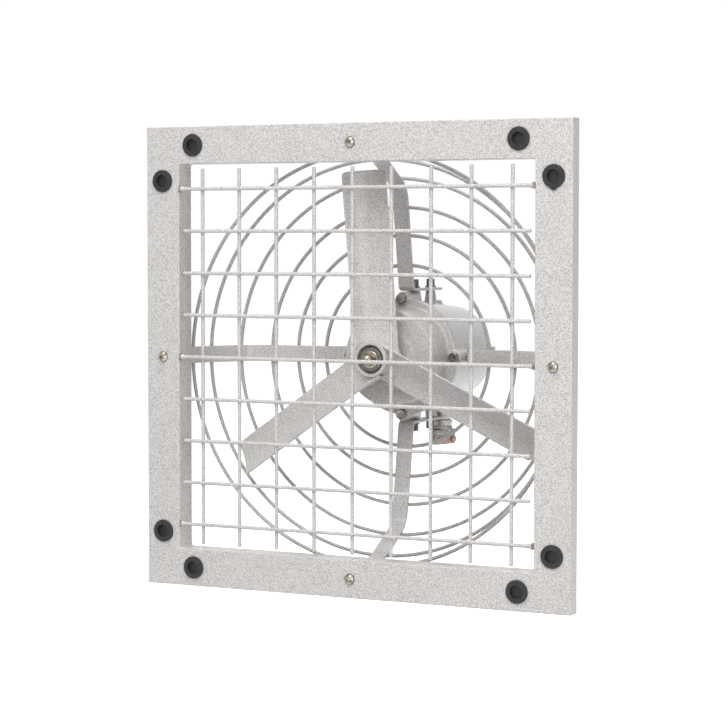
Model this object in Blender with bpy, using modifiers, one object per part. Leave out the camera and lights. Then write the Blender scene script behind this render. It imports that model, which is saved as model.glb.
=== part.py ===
"""Square wall exhaust fan with a front wire grille, a ring guard and a flanged motor.

Units are metres and +Z is up. The fan's front faces -Y and its shaft runs along Y.
The origin is on the shaft's axis, in the plane where the frame's outer lip meets the wall.
Sizes named DEPTH are measured backwards from the frame's front face.
"""

import math

import bmesh
import bpy
from mathutils import Matrix, Vector

# General clearances and mesh fineness
SEAT_GAP = 0.0003
OVERRUN = 0.002
MERGE_DISTANCE = 0.00001
BIG_SEGMENTS = 28
SMALL_SEGMENTS = 16
BOLT_SEGMENTS = 12
WIRE_SIDES = 6
SHARP_ANGLE = math.radians(35)
QUARTER_TURN = math.radians(90)
SIDE_NAMES = ("top", "right", "bottom", "left")

# Pressed steel frame
FRAME_SIDE = 0.490
RAIL_WIDTH = 0.040
SHEET = 0.002
OUTER_LIP_DEPTH = 0.016
INNER_LIP_DEPTH = 0.025
OUTER_CORNER_RADIUS = 0.003
INNER_CORNER_RADIUS = 0.003
CORNER_STEPS = 3
FOLD_RADIUS = 0.0025
FOLD_SEGMENTS = 2
FOLD_ROUNDNESS_SHARE = 0.5
OPENING_SIDE = FRAME_SIDE - 2 * RAIL_WIDTH
RAIL_CENTRE = (FRAME_SIDE - RAIL_WIDTH) / 2
FRONT_Y = -OUTER_LIP_DEPTH

# Rubber plugs in the fixing holes, two at each corner
PLUG_CORNER_DISTANCE = 0.0575
PLUG_SPACING = FRAME_SIDE - 2 * PLUG_CORNER_DISTANCE
PLUG_FLANGE_RADIUS = 0.012
PLUG_FLANGE_HEIGHT = 0.0028
PLUG_EDGE_ROUND = 0.0012
PLUG_NECK_RADIUS = 0.0095
PLUG_BARB_RADIUS = 0.0112
PLUG_BARB_LENGTH = 0.006
PLUG_TIP_RADIUS = 0.0085
PLUG_WELL_RADIUS = 0.0068
PLUG_WELL_DEPTH = 0.0055

# Front grille of welded wire
GRILLE_WIRE_RADIUS = 0.002
GRILLE_PITCH = 0.0447
GRILLE_EDGE_MARGIN = 0.015
GRILLE_HALF_COUNT = int((OPENING_SIDE / 2 - GRILLE_EDGE_MARGIN) / GRILLE_PITCH)
GRILLE_DEPTH = 0.002
WELD_SINK = 0.0005
GRILLE_END_CLEARANCE = 0.0045
GRILLE_TAB_HEIGHT = 0.007
GRILLE_TAB_THICKNESS = 0.002
GRILLE_TAB_DEPTH = 0.005
GRILLE_LONG_ROWS = (-GRILLE_HALF_COUNT, 0, GRILLE_HALF_COUNT)

# Impeller
IMPELLER_CLEARANCE = 0.006
IMPELLER_RADIUS = OPENING_SIDE / 2 - IMPELLER_CLEARANCE
BLADE_COUNT = 3
BLADE_ANGLE = math.radians(4.8)
BLADE_FRONT_SETBACK = 0.0038
BLADE_BACK_SETBACK = 0.0295
BLADE_FRONT_OFFSET = 0.0192
BLADE_BACK_OFFSET = 0.0202
BLADE_CAMBER = 0.0055
BLADE_THICKNESS = 0.0026
BLADE_ROOT_RADIUS = 0.011
BLADE_TIP_ROUND = 0.004
BLADE_CHORD_STEPS = 8
BLADE_SPAN_STEPS = 3
HUB_FRONT_DEPTH = 0.0455
HUB_LENGTH = 0.0405
HUB_BACK_DEPTH = HUB_FRONT_DEPTH + HUB_LENGTH
HUB_RADIUS = 0.0187
HUB_EDGE_ROUND = 0.0012
HUB_WELL_RADIUS = 0.0155
HUB_WELL_DEPTH = 0.0045

# Shaft, key, washer and dome nut
SHAFT_RADIUS = 0.0070
SHAFT_JOURNAL_RADIUS = 0.0075
SHAFT_CORE_RADIUS = 0.0100
SHAFT_THREAD_RADIUS = 0.0040
SHAFT_THREAD_REACH = 0.0055
SHAFT_THREAD_FRONT_DEPTH = HUB_FRONT_DEPTH - SHAFT_THREAD_REACH
KEY_WIDTH = 0.005
KEY_HEIGHT = 0.005
KEY_LENGTH = 0.020
KEY_SINK_SHARE = 0.55
WASHER_RADIUS = 0.0125
WASHER_THICKNESS = 0.0020
NUT_FLANGE_RADIUS = 0.0090
NUT_FLANGE_HEIGHT = 0.0020
NUT_HEX_RADIUS = 0.0075
NUT_HEX_HEIGHT = 0.0048
NUT_DOME_RADIUS = 0.0062
NUT_TAP_WALL = 0.0020
DOME_STEPS = 4

# Stator, windings and rotor
CORE_OUTER_RADIUS = 0.0475
CORE_RING_WIDTH = 0.0200
CORE_BORE_RADIUS = CORE_OUTER_RADIUS - CORE_RING_WIDTH
CORE_COVER_DISTANCE = 0.023
CORE_LENGTH = 0.050
WINDING_STEP = 0.0035
WINDING_OUTER_RADIUS = CORE_OUTER_RADIUS - WINDING_STEP
WINDING_INNER_RADIUS = CORE_BORE_RADIUS + WINDING_STEP
WINDING_LENGTH = 0.016
WINDING_ROUND = 0.005
WINDING_CLEARANCE = 0.007
AIR_GAP = 0.0005
ROTOR_OVERHANG = 0.002

# Motor, as cast shells
HUB_COVER_DISTANCE = 0.0035
COVER_CUP_LENGTH = 0.0335
COVER_FLANGE_THICKNESS = 0.009
COVER_WALL = 0.005
COVER_EDGE_ROUND = 0.0015
COVER_SPIGOT_LENGTH = 0.004
COVER_SPIGOT_WALL = 0.003
HOUSING_WALL = 0.0045
HOUSING_TAPER = 0.008
HOUSING_REAR_RADIUS = CORE_OUTER_RADIUS + HOUSING_WALL
HOUSING_FRONT_RADIUS = HOUSING_REAR_RADIUS + HOUSING_TAPER
HOUSING_END_WALL = 0.004
HOUSING_DOME_HEIGHT = 0.012
COVER_FLANGE_OVERHANG = 0.003
COVER_FLANGE_RADIUS = HOUSING_FRONT_RADIUS + COVER_FLANGE_OVERHANG
COVER_FLANGE_WIDTH = 0.0085
COVER_SIDE_RADIUS = COVER_FLANGE_RADIUS - COVER_FLANGE_WIDTH
COVER_DRAFT = 0.0025
COVER_FACE_RADIUS = COVER_SIDE_RADIUS - COVER_DRAFT
COVER_FACE_DEPTH = HUB_BACK_DEPTH + HUB_COVER_DISTANCE
COVER_FLANGE_DEPTH = COVER_FACE_DEPTH + COVER_CUP_LENGTH
COVER_BACK_DEPTH = COVER_FLANGE_DEPTH + COVER_FLANGE_THICKNESS
CORE_FRONT_DEPTH = COVER_BACK_DEPTH + CORE_COVER_DISTANCE
CAVITY_END_DEPTH = CORE_FRONT_DEPTH + CORE_LENGTH + WINDING_LENGTH + WINDING_CLEARANCE
BOLT_OFFSET = 0.002
BOLT_CIRCLE_RADIUS = HOUSING_FRONT_RADIUS + BOLT_OFFSET
EAR_RADIUS = 0.0077
EAR_TOP_RADIUS = BOLT_CIRCLE_RADIUS + EAR_RADIUS
EAR_RISE = 0.0006
EAR_BOSS_LENGTH = 0.018
FRONT_POST_RADIUS = 0.0065
REAR_POST_RADIUS = 0.0052
POST_FLARE = 0.0026
POST_ROOT_RADIUS = HOUSING_REAR_RADIUS
NUB_END_DISTANCE = 0.0275
NUB_RADIUS = 0.0026
NUB_HEIGHT = 0.0065
NUB_TOP_RADIUS = HOUSING_REAR_RADIUS + NUB_HEIGHT

# Ball bearings, one at each end
BEARING_OUTER_RADIUS = 0.0175
BEARING_WIDTH = 0.011
BEARING_OUTER_WALL = 0.0030
BEARING_INNER_WALL = 0.0030
BALL_RADIUS = 0.0028
BALL_COUNT = 8
BALL_SEGMENTS = 6
BALL_RINGS = 4
RACE_CLEARANCE = 0.0005
CAGE_THICKNESS = 0.0012
CAGE_WIDTH = 0.0070
BEARING_BOSS_WALL = 0.005
BEARING_FACE_DISTANCE = 0.008
FRONT_BEARING_DEPTH = COVER_FACE_DEPTH + BEARING_FACE_DISTANCE
REAR_BEARING_DEPTH = CAVITY_END_DEPTH
HOUSING_REAR_DEPTH = REAR_BEARING_DEPTH + BEARING_WIDTH + HOUSING_END_WALL
NUB_DEPTH = HOUSING_REAR_DEPTH - NUB_END_DISTANCE
SEAL_THICKNESS = 0.0055
SEAL_RADIUS = 0.0130
SEAL_LIP_CLEARANCE = 0.0003

# Flat stays between the frame and the motor
STAY_WIDTH = 0.018
STAY_THICKNESS = 0.003
STAY_FOOT_OVERLAP = 0.011
STAY_LIP_CLEARANCE = 0.007
STAY_SIDE_LEAN = 0.002
STAY_HEEL_INSET = 0.0325
STAY_SHOULDER_DEPTH = 0.060
STAY_HEEL_RISE = 0.0565
STAY_PAD_RISE = 0.017
STAY_PAD_END_MARGIN = 0.0115
STAY_PAD_RADIUS = EAR_TOP_RADIUS + SEAT_GAP + STAY_THICKNESS / 2
STAY_FOOT_END_RADIUS = RAIL_CENTRE + STAY_FOOT_OVERLAP
STAY_SIDE_RADIUS = OPENING_SIDE / 2 + SHEET + STAY_LIP_CLEARANCE + STAY_THICKNESS / 2
STAY_SHOULDER_RADIUS = STAY_SIDE_RADIUS - STAY_SIDE_LEAN
STAY_HEEL_RADIUS = STAY_SHOULDER_RADIUS - STAY_HEEL_INSET
STAY_HEEL_DEPTH = STAY_SHOULDER_DEPTH + STAY_HEEL_RISE
STAY_PAD_BEND_DEPTH = STAY_HEEL_DEPTH + STAY_PAD_RISE
STAY_TIGHT_BEND = 0.0055
STAY_SHOULDER_BEND = 0.070
STAY_HEEL_BEND = 0.030
BEND_STEPS = 3
STAY_FOOT_DEPTH = SHEET + SEAT_GAP + STAY_THICKNESS / 2
POST_BEND_DISTANCE = 0.0195
POST_PITCH = 0.0405
FRONT_POST_DEPTH = STAY_PAD_BEND_DEPTH + POST_BEND_DISTANCE
REAR_POST_DEPTH = FRONT_POST_DEPTH + POST_PITCH
STAY_PAD_END_DEPTH = REAR_POST_DEPTH + STAY_PAD_END_MARGIN

# Domed screws through the rails into the stays' feet
SCREW_RADIUS = 0.003
SCREW_CLEARANCE = 0.0003
SCREW_HEAD_RADIUS = 0.0057
SCREW_HEAD_HEIGHT = 0.0036
SCREW_LENGTH = 0.009
SOCKET_RADIUS = 0.0021
SOCKET_DEPTH = 0.0018
HEAD_ROUND_STEPS = 3

# Guard rings on the outside of the stays, as shares of the way from the first bend to the last
RING_WIRE_RADIUS = 0.002
RING_SIDES = 6
RING_SEGMENTS = 32
RING_PATH_SHARES = (0.203, 0.311, 0.471, 0.610, 0.739, 0.8765)

# Cover bolts and foot bolts
COVER_BOLT_RADIUS = 0.0030
COVER_BOLT_HEAD_RADIUS = 0.0060
COVER_BOLT_HEAD_HEIGHT = 0.0045
COVER_BOLT_LENGTH = 0.023
FOOT_BOLT_RADIUS = 0.0030
FOOT_BOLT_WASHER_RADIUS = 0.0058
FOOT_BOLT_WASHER_HEIGHT = 0.0014
FOOT_BOLT_HEAD_RADIUS = 0.0050
FOOT_BOLT_HEAD_HEIGHT = 0.0060
FOOT_BOLT_SOCKET_RADIUS = 0.0029
FOOT_BOLT_SOCKET_DEPTH = 0.0030
FOOT_BOLT_LENGTH = 0.012

# Cable gland under the motor
GLAND_END_DISTANCE = 0.004
GLAND_DEPTH = CAVITY_END_DEPTH - GLAND_END_DISTANCE
GLAND_BORE_RADIUS = 0.0055
ENTRY_BOSS_RADIUS = 0.0130
ENTRY_BOSS_HEIGHT = 0.0100
ENTRY_BOSS_BOTTOM = HOUSING_REAR_RADIUS + ENTRY_BOSS_HEIGHT
GLAND_BODY_RADIUS = 0.0105
GLAND_BODY_HEIGHT = 0.0125
GLAND_BODY_BOTTOM = ENTRY_BOSS_BOTTOM + GLAND_BODY_HEIGHT
GLAND_NUT_RADIUS = 0.0118
GLAND_NUT_HEIGHT = 0.0110
GLAND_NUT_BANDS = 3
GLAND_NUT_BOTTOM = GLAND_BODY_BOTTOM + GLAND_NUT_HEIGHT
GLAND_GROOVE = 0.0008
GLAND_TURN = math.radians(74)
GLAND_BLOCK_LENGTH = 0.035
GLAND_BLOCK_WIDTH = 0.013
GLAND_SADDLE_HEIGHT = 0.0060
GLAND_CLAMP_HEIGHT = 0.0100
GLAND_CLAMP_BORE_RADIUS = 0.0040
GLAND_BLOCK_ROUND = 0.0012
GLAND_SCREW_RADIUS = 0.0020
GLAND_SCREW_HEAD_RADIUS = 0.0036
GLAND_SCREW_HEAD_HEIGHT = 0.0025
GLAND_SCREW_LENGTH = 0.010
GLAND_SCREW_SPACING = 0.024

# Paint, rubber and metal finishes: colour, roughness, metallic
FINISHES = {
    "hammer_paint": ((0.66, 0.66, 0.65, 1), 0.45, 0.0),
    "black_rubber": ((0.035, 0.035, 0.037, 1), 0.65, 0.0),
    "bright_steel": ((0.62, 0.60, 0.56, 1), 0.25, 1.0),
    "dark_steel": ((0.12, 0.10, 0.09, 1), 0.45, 1.0),
    "bearing_steel": ((0.55, 0.56, 0.58, 1), 0.2, 1.0),
    "electrical_steel": ((0.28, 0.29, 0.31, 1), 0.5, 1.0),
    "enamelled_copper": ((0.50, 0.20, 0.07, 1), 0.4, 0.6),
    "nickel_brass": ((0.60, 0.57, 0.52, 1), 0.3, 1.0),
}


def clear_scene():
    """Remove every object that the file opened with."""
    for thing in list(bpy.data.objects):
        bpy.data.objects.remove(thing, do_unlink=True)


def make_collection(name):
    """Return a new collection linked to the scene."""
    group = bpy.data.collections.new(name)
    bpy.context.scene.collection.children.link(group)
    return group


def make_material(name):
    """Return a Principled material with the finish's colour and gloss."""
    colour, roughness, metallic = FINISHES[name]
    material = bpy.data.materials.new(name)
    material.use_nodes = True
    shader = material.node_tree.nodes["Principled BSDF"]
    shader.inputs["Base Color"].default_value = colour
    shader.inputs["Roughness"].default_value = roughness
    shader.inputs["Metallic"].default_value = metallic
    material.diffuse_color = colour
    return material


clear_scene()
FAN = make_collection("exhaust_fan")
CUTTERS = make_collection("cutters")
MATERIALS = {name: make_material(name) for name in FINISHES}


def make_empty(name, parent=None, location=(0, 0, 0)):
    """Return an empty that carries other objects."""
    empty = bpy.data.objects.new(name, None)
    FAN.objects.link(empty)
    empty.parent = parent
    empty.location = location
    return empty


FRONT_PLANE = make_empty("front_plane", location=(0, FRONT_Y, 0))
ROTOR_AXIS = make_empty("rotor_axis", FRONT_PLANE)


def new_object(name, mesh, finish=None, parent=FRONT_PLANE):
    """Link an object for a mesh; one without a finish is a cutter or a tool."""
    thing = bpy.data.objects.new(name, mesh)
    if finish:
        FAN.objects.link(thing)
        if not mesh.materials:
            mesh.materials.append(MATERIALS[finish])
    else:
        CUTTERS.objects.link(thing)
        thing.hide_render = True
        thing.display_type = "WIRE"
    thing.parent = parent
    return thing


def mesh_from(name, build):
    """Return a mesh made by a function that fills a bmesh."""
    shape = bmesh.new()
    build(shape)
    mesh = bpy.data.meshes.new(name)
    shape.to_mesh(mesh)
    shape.free()
    mesh.shade_smooth()
    mesh.set_sharp_from_angle(angle=SHARP_ANGLE)
    return mesh


def baked_mesh(thing):
    """Return a plain mesh of an object with its modifiers, and remove the object."""
    bpy.context.view_layer.update()
    graph = bpy.context.evaluated_depsgraph_get()
    mesh = bpy.data.meshes.new_from_object(thing.evaluated_get(graph))
    tools = [modifier.object for modifier in thing.modifiers if modifier.type == "BOOLEAN"]
    for used in tools + [thing]:
        bpy.data.objects.remove(used, do_unlink=True)
    mesh.shade_smooth()
    mesh.set_sharp_from_angle(angle=SHARP_ANGLE)
    return mesh


def boolean(target, tool, operation):
    """Cut the target with a tool object, or join the tool to it."""
    modifier = target.modifiers.new(operation.lower(), "BOOLEAN")
    modifier.operation = operation
    modifier.object = tool
    return target


def signed_area(outline):
    """Return the area of a closed outline, positive where it runs anticlockwise."""
    total = 0
    for (x0, y0), (x1, y1) in zip(outline, outline[1:] + outline[:1]):
        total += x0 * y1 - x1 * y0
    return total / 2


def turned(name, outline, finish=None, parent=FRONT_PLANE, segments=BIG_SEGMENTS):
    """Turn an outline of (radius, depth) points about the fan's axis.

    An outline that starts and ends on the axis makes a solid; any other is closed to a ring.
    """
    if signed_area(outline) > 0:
        outline = outline[::-1]
    on_axis = outline[0][0] == 0 and outline[-1][0] == 0
    count = len(outline)
    edges = [(i, i + 1) for i in range(count - 1)]
    if not on_axis:
        edges.append((count - 1, 0))
    mesh = bpy.data.meshes.new(name)
    mesh.from_pydata([(radius, 0, depth) for radius, depth in outline], edges, [])
    thing = new_object(name, mesh, finish, parent)
    thing.rotation_euler = (-QUARTER_TURN, 0, 0)
    screw = thing.modifiers.new("turn", "SCREW")
    screw.steps = segments
    screw.render_steps = segments
    screw.use_merge_vertices = True
    screw.merge_threshold = MERGE_DISTANCE
    return thing


def rod(name, radius, start, end, sides=BOLT_SEGMENTS, end_radius=None, finish=None, parent=FRONT_PLANE):
    """Make a round, hexagonal or tapered rod from one point to another."""
    first, last = Vector(start), Vector(end)
    span = last - first
    tip = radius if end_radius is None else end_radius

    def build(shape):
        bmesh.ops.create_cone(
            shape, cap_ends=True, segments=sides, radius1=radius, radius2=tip, depth=span.length
        )

    thing = new_object(name, mesh_from(name, build), finish, parent)
    thing.location = (first + last) / 2
    thing.rotation_mode = "QUATERNION"
    thing.rotation_quaternion = span.to_track_quat("Z", "Y")
    return thing


def box(name, low, high, finish=None, parent=FRONT_PLANE):
    """Make a box between two corners."""
    low, high = Vector(low), Vector(high)
    size = high - low

    def build(shape):
        bmesh.ops.create_cube(shape, size=1, matrix=Matrix.Diagonal((*size, 1)))

    thing = new_object(name, mesh_from(name, build), finish, parent)
    thing.location = (low + high) / 2
    return thing


def arc(centre, radius, start, end, steps):
    """Return points on an arc between two angles, both ends included."""
    points = []
    for step in range(steps + 1):
        angle = start + (end - start) * step / steps
        points.append((centre[0] + radius * math.cos(angle), centre[1] + radius * math.sin(angle)))
    return points


def side_matrix(index):
    """Turn what is built at the top to the top, right, bottom or left."""
    return Matrix.Rotation(index * QUARTER_TURN, 4, "Y")


def four_sides(name, mesh, finish):
    """Place a mesh that was built for the top on all four sides."""
    for index, side in enumerate(SIDE_NAMES):
        thing = new_object(f"{name}_{side}", mesh, finish)
        thing.matrix_local = side_matrix(index)


def rounded_square(half, radius, depth):
    """Return the points of a square with rounded corners in a plane of given depth."""
    points = []
    for corner in range(4):
        start = corner * QUARTER_TURN
        turn = start + QUARTER_TURN / 2
        centre = (
            math.copysign(half - radius, math.cos(turn)),
            math.copysign(half - radius, math.sin(turn)),
        )
        points += arc(centre, radius, start, start + QUARTER_TURN, CORNER_STEPS)
    return [(x, depth, z) for x, z in points]


def fold_edges(shape, loops):
    """Return the edges of the loops where the sheet folds."""
    chosen = []
    for loop in loops:
        for first, second in zip(loop, loop[1:] + loop[:1]):
            chosen.append(shape.edges.get((first, second)))
    return chosen


def frame():
    """Pressed sheet frame: a front face with a shallow outer lip and a deeper inner lip."""
    sections = (
        rounded_square(OPENING_SIDE / 2, INNER_CORNER_RADIUS, INNER_LIP_DEPTH),
        rounded_square(OPENING_SIDE / 2, INNER_CORNER_RADIUS, 0),
        rounded_square(FRAME_SIDE / 2, OUTER_CORNER_RADIUS, 0),
        rounded_square(FRAME_SIDE / 2, OUTER_CORNER_RADIUS, OUTER_LIP_DEPTH),
    )

    def build(shape):
        loops = [[shape.verts.new(point) for point in section] for section in sections]
        for inner, outer in zip(loops, loops[1:]):
            for i in range(len(inner)):
                j = (i + 1) % len(inner)
                shape.faces.new((inner[i], outer[i], outer[j], inner[j]))
        bmesh.ops.bevel(
            shape,
            geom=fold_edges(shape, loops[1:3]),
            offset=FOLD_RADIUS,
            segments=FOLD_SEGMENTS,
            profile=FOLD_ROUNDNESS_SHARE,
            affect="EDGES",
        )

    thing = new_object("frame", mesh_from("frame", build), "hammer_paint")
    wall = thing.modifiers.new("sheet", "SOLIDIFY")
    wall.thickness = SHEET
    wall.offset = -1
    wall.use_even_offset = True
    hole_radius = PLUG_NECK_RADIUS + SEAT_GAP
    for number, (x, z) in enumerate(plug_places()):
        hole = rod(f"cut_plug_hole_{number}", hole_radius, (x, -OVERRUN, z), (x, SHEET + OVERRUN, z),
                   SMALL_SEGMENTS)
        boolean(thing, hole, "DIFFERENCE")
    for index, side in enumerate(SIDE_NAMES):
        centre = side_matrix(index) @ Vector((0, 0, RAIL_CENTRE))
        reach = Vector((0, SHEET + OVERRUN, 0))
        hole = rod(f"cut_screw_hole_{side}", SCREW_RADIUS + SCREW_CLEARANCE, centre - reach, centre + reach)
        boolean(thing, hole, "DIFFERENCE")
    return thing


def plug_places():
    """Return the plugs' places across and up, two at each corner of the frame."""
    half = PLUG_SPACING / 2
    places = []
    for x_sign in (-1, 1):
        for z_sign in (-1, 1):
            places.append((x_sign * half, z_sign * RAIL_CENTRE))
            places.append((x_sign * RAIL_CENTRE, z_sign * half))
    return places


def rubber_plugs():
    """Flanged rubber plugs with a round well, pushed into the frame's fixing holes."""
    flange_front = -SEAT_GAP - PLUG_FLANGE_HEIGHT
    barb_front = SHEET + SEAT_GAP
    barb_back = barb_front + PLUG_BARB_LENGTH
    outline = [
        (0, barb_back),
        (PLUG_TIP_RADIUS, barb_back),
        (PLUG_BARB_RADIUS, barb_front),
        (PLUG_NECK_RADIUS, barb_front),
        (PLUG_NECK_RADIUS, -SEAT_GAP),
        (PLUG_FLANGE_RADIUS, -SEAT_GAP),
        (PLUG_FLANGE_RADIUS, flange_front + PLUG_EDGE_ROUND),
        (PLUG_FLANGE_RADIUS - PLUG_EDGE_ROUND, flange_front),
        (PLUG_WELL_RADIUS, flange_front),
        (PLUG_WELL_RADIUS, flange_front + PLUG_WELL_DEPTH),
        (0, flange_front + PLUG_WELL_DEPTH),
    ]
    mesh = baked_mesh(turned("plug", outline, segments=SMALL_SEGMENTS))
    mesh.materials.append(MATERIALS["black_rubber"])
    for number, (x, z) in enumerate(plug_places(), start=1):
        plug = new_object(f"rubber_plug_{number}", mesh, "black_rubber")
        plug.rotation_euler = (-QUARTER_TURN, 0, 0)
        plug.location = (x, 0, z)


def stay_path():
    """Return the middle line of a stay as (radius, depth) points, with its bends rounded."""
    corners = (
        (STAY_FOOT_END_RADIUS, STAY_FOOT_DEPTH),
        (STAY_SIDE_RADIUS, STAY_FOOT_DEPTH),
        (STAY_SHOULDER_RADIUS, STAY_SHOULDER_DEPTH),
        (STAY_HEEL_RADIUS, STAY_HEEL_DEPTH),
        (STAY_PAD_RADIUS, STAY_PAD_BEND_DEPTH),
        (STAY_PAD_RADIUS, STAY_PAD_END_DEPTH),
    )
    bends = (STAY_TIGHT_BEND, STAY_SHOULDER_BEND, STAY_HEEL_BEND, STAY_TIGHT_BEND)
    path = [Vector(corners[0])]
    for before, corner, after, bend in zip(corners, corners[1:], corners[2:], bends):
        corner = Vector(corner)
        back = (Vector(before) - corner).normalized()
        ahead = (Vector(after) - corner).normalized()
        half_angle = back.angle(ahead) / 2
        centre = corner + (back + ahead).normalized() * bend / math.sin(half_angle)
        first = corner + back * bend / math.tan(half_angle)
        last = corner + ahead * bend / math.tan(half_angle)
        for step in range(BEND_STEPS + 1):
            mixed = first.lerp(last, step / BEND_STEPS) - centre
            path.append(centre + mixed.normalized() * bend)
    path.append(Vector(corners[-1]))
    return path


def along_path(path, share):
    """Return the point and the outward normal at a share of a path's length."""
    lengths = [(b - a).length for a, b in zip(path, path[1:])]
    left = share * sum(lengths)
    for a, b, length in zip(path, path[1:], lengths):
        if left <= length:
            break
        left -= length
    ahead = (b - a).normalized()
    return a + ahead * left, Vector((ahead.y, -ahead.x))


def foot_bolt_depths():
    """Return the depths of the two bolts that hold a stay to the motor."""
    return {"front": FRONT_POST_DEPTH, "rear": REAR_POST_DEPTH}


def stays():
    """Flat bars bent from a foot behind the rail, round the impeller, to a pad on the motor."""
    path = stay_path()
    half = STAY_WIDTH / 2

    def build(shape):
        rows = [[shape.verts.new((x, point.y, point.x)) for x in (-half, half)] for point in path]
        for first, second in zip(rows, rows[1:]):
            shape.faces.new((first[0], first[1], second[1], second[0]))

    stay = new_object("stay", mesh_from("stay", build))
    bar = stay.modifiers.new("bar", "SOLIDIFY")
    bar.thickness = STAY_THICKNESS
    bar.offset = 0
    bar.use_even_offset = True
    reach = STAY_THICKNESS / 2 + OVERRUN
    screw_start = (0, STAY_FOOT_DEPTH - reach, RAIL_CENTRE)
    screw_end = (0, STAY_FOOT_DEPTH + reach, RAIL_CENTRE)
    boolean(stay, rod("cut_foot", SCREW_RADIUS + SCREW_CLEARANCE, screw_start, screw_end), "DIFFERENCE")
    for place, depth in foot_bolt_depths().items():
        start = (0, depth, STAY_PAD_RADIUS - reach)
        end = (0, depth, STAY_PAD_RADIUS + reach)
        hole = rod(f"cut_pad_{place}", FOOT_BOLT_RADIUS + SCREW_CLEARANCE, start, end)
        boolean(stay, hole, "DIFFERENCE")
    mesh = baked_mesh(stay)
    mesh.materials.append(MATERIALS["hammer_paint"])
    four_sides("stay", mesh, "hammer_paint")


def stay_screws():
    """Domed socket screws that hold the stays' feet to the frame."""
    head_back = -SEAT_GAP
    dome = [
        (SCREW_HEAD_RADIUS * math.cos(angle), head_back - SCREW_HEAD_HEIGHT * math.sin(angle))
        for angle in (QUARTER_TURN * step / HEAD_ROUND_STEPS for step in range(HEAD_ROUND_STEPS))
    ]
    outline = [(0, SCREW_LENGTH), (SCREW_RADIUS, SCREW_LENGTH), (SCREW_RADIUS, head_back)]
    outline += dome
    outline += [
        (SOCKET_RADIUS, head_back - SCREW_HEAD_HEIGHT),
        (SOCKET_RADIUS, head_back - SCREW_HEAD_HEIGHT + SOCKET_DEPTH),
        (0, head_back - SCREW_HEAD_HEIGHT + SOCKET_DEPTH),
    ]
    mesh = baked_mesh(turned("screw", outline, segments=BOLT_SEGMENTS))
    mesh.materials.append(MATERIALS["bright_steel"])
    for index, side in enumerate(SIDE_NAMES):
        screw = new_object(f"stay_screw_{side}", mesh, "bright_steel")
        screw.rotation_euler = (-QUARTER_TURN, 0, 0)
        screw.location = side_matrix(index) @ Vector((0, 0, RAIL_CENTRE))


def guard_rings():
    """Round wire rings welded to the outside of the stays, one behind the other.

    Each ring is turned by half a segment, so that a straight length lies across each stay.
    """
    path = stay_path()[1:-1]
    offset = STAY_THICKNESS / 2 + SEAT_GAP + RING_WIRE_RADIUS
    half_segment = 2 * QUARTER_TURN / RING_SEGMENTS
    for number, share in enumerate(RING_PATH_SHARES, start=1):
        point, outward = along_path(path, share)
        centre = point + outward * offset
        centre.x /= math.cos(half_segment)
        outline = arc(centre, RING_WIRE_RADIUS, 0, 4 * QUARTER_TURN, RING_SIDES)[:-1]
        ring = turned(f"guard_ring_{number}", outline, "hammer_paint", segments=RING_SEGMENTS)
        ring.rotation_euler.rotate_axis("Z", half_segment)


def joined_rods(name, lines):
    """Return one object that holds a straight wire for each line."""
    pieces = [rod(f"{name}_{i}", GRILLE_WIRE_RADIUS, a, b, WIRE_SIDES) for i, (a, b) in enumerate(lines)]
    bpy.context.view_layer.update()
    shape = bmesh.new()
    for piece in pieces:
        piece.data.transform(piece.matrix_basis)
        shape.from_mesh(piece.data)
        bpy.data.objects.remove(piece, do_unlink=True)
    mesh = bpy.data.meshes.new(name)
    shape.to_mesh(mesh)
    shape.free()
    return mesh


def front_grille():
    """Welded wire grille: upright wires behind, level wires in front, some reaching the frame."""
    upright_depth = GRILLE_DEPTH + 2 * GRILLE_WIRE_RADIUS - WELD_SINK
    free_end = OPENING_SIDE / 2 - GRILLE_END_CLEARANCE
    wall_end = OPENING_SIDE / 2 - SEAT_GAP
    rows = range(-GRILLE_HALF_COUNT, GRILLE_HALF_COUNT + 1)
    uprights = [
        ((row * GRILLE_PITCH, upright_depth, -free_end), (row * GRILLE_PITCH, upright_depth, free_end))
        for row in rows
    ]
    levels = []
    for row in rows:
        end = wall_end - GRILLE_TAB_THICKNESS / 2 if row in GRILLE_LONG_ROWS else free_end
        levels.append(((-end, GRILLE_DEPTH, row * GRILLE_PITCH), (end, GRILLE_DEPTH, row * GRILLE_PITCH)))
    mesh = joined_rods("front_grille", levels)
    grille = new_object("front_grille", mesh, "hammer_paint")
    boolean(grille, new_object("add_uprights", joined_rods("add_uprights", uprights)), "UNION")
    tab_low = GRILLE_DEPTH - GRILLE_WIRE_RADIUS + WELD_SINK
    for row in GRILLE_LONG_ROWS:
        middle = row * GRILLE_PITCH
        for name, inner, outer in (
            ("left", -wall_end, -wall_end + GRILLE_TAB_THICKNESS),
            ("right", wall_end - GRILLE_TAB_THICKNESS, wall_end),
        ):
            tab = box(
                f"add_tab_{name}_{row}",
                (inner, tab_low, middle - GRILLE_TAB_HEIGHT / 2),
                (outer, tab_low + GRILLE_TAB_DEPTH, middle + GRILLE_TAB_HEIGHT / 2),
            )
            boolean(grille, tab, "UNION")


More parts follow.
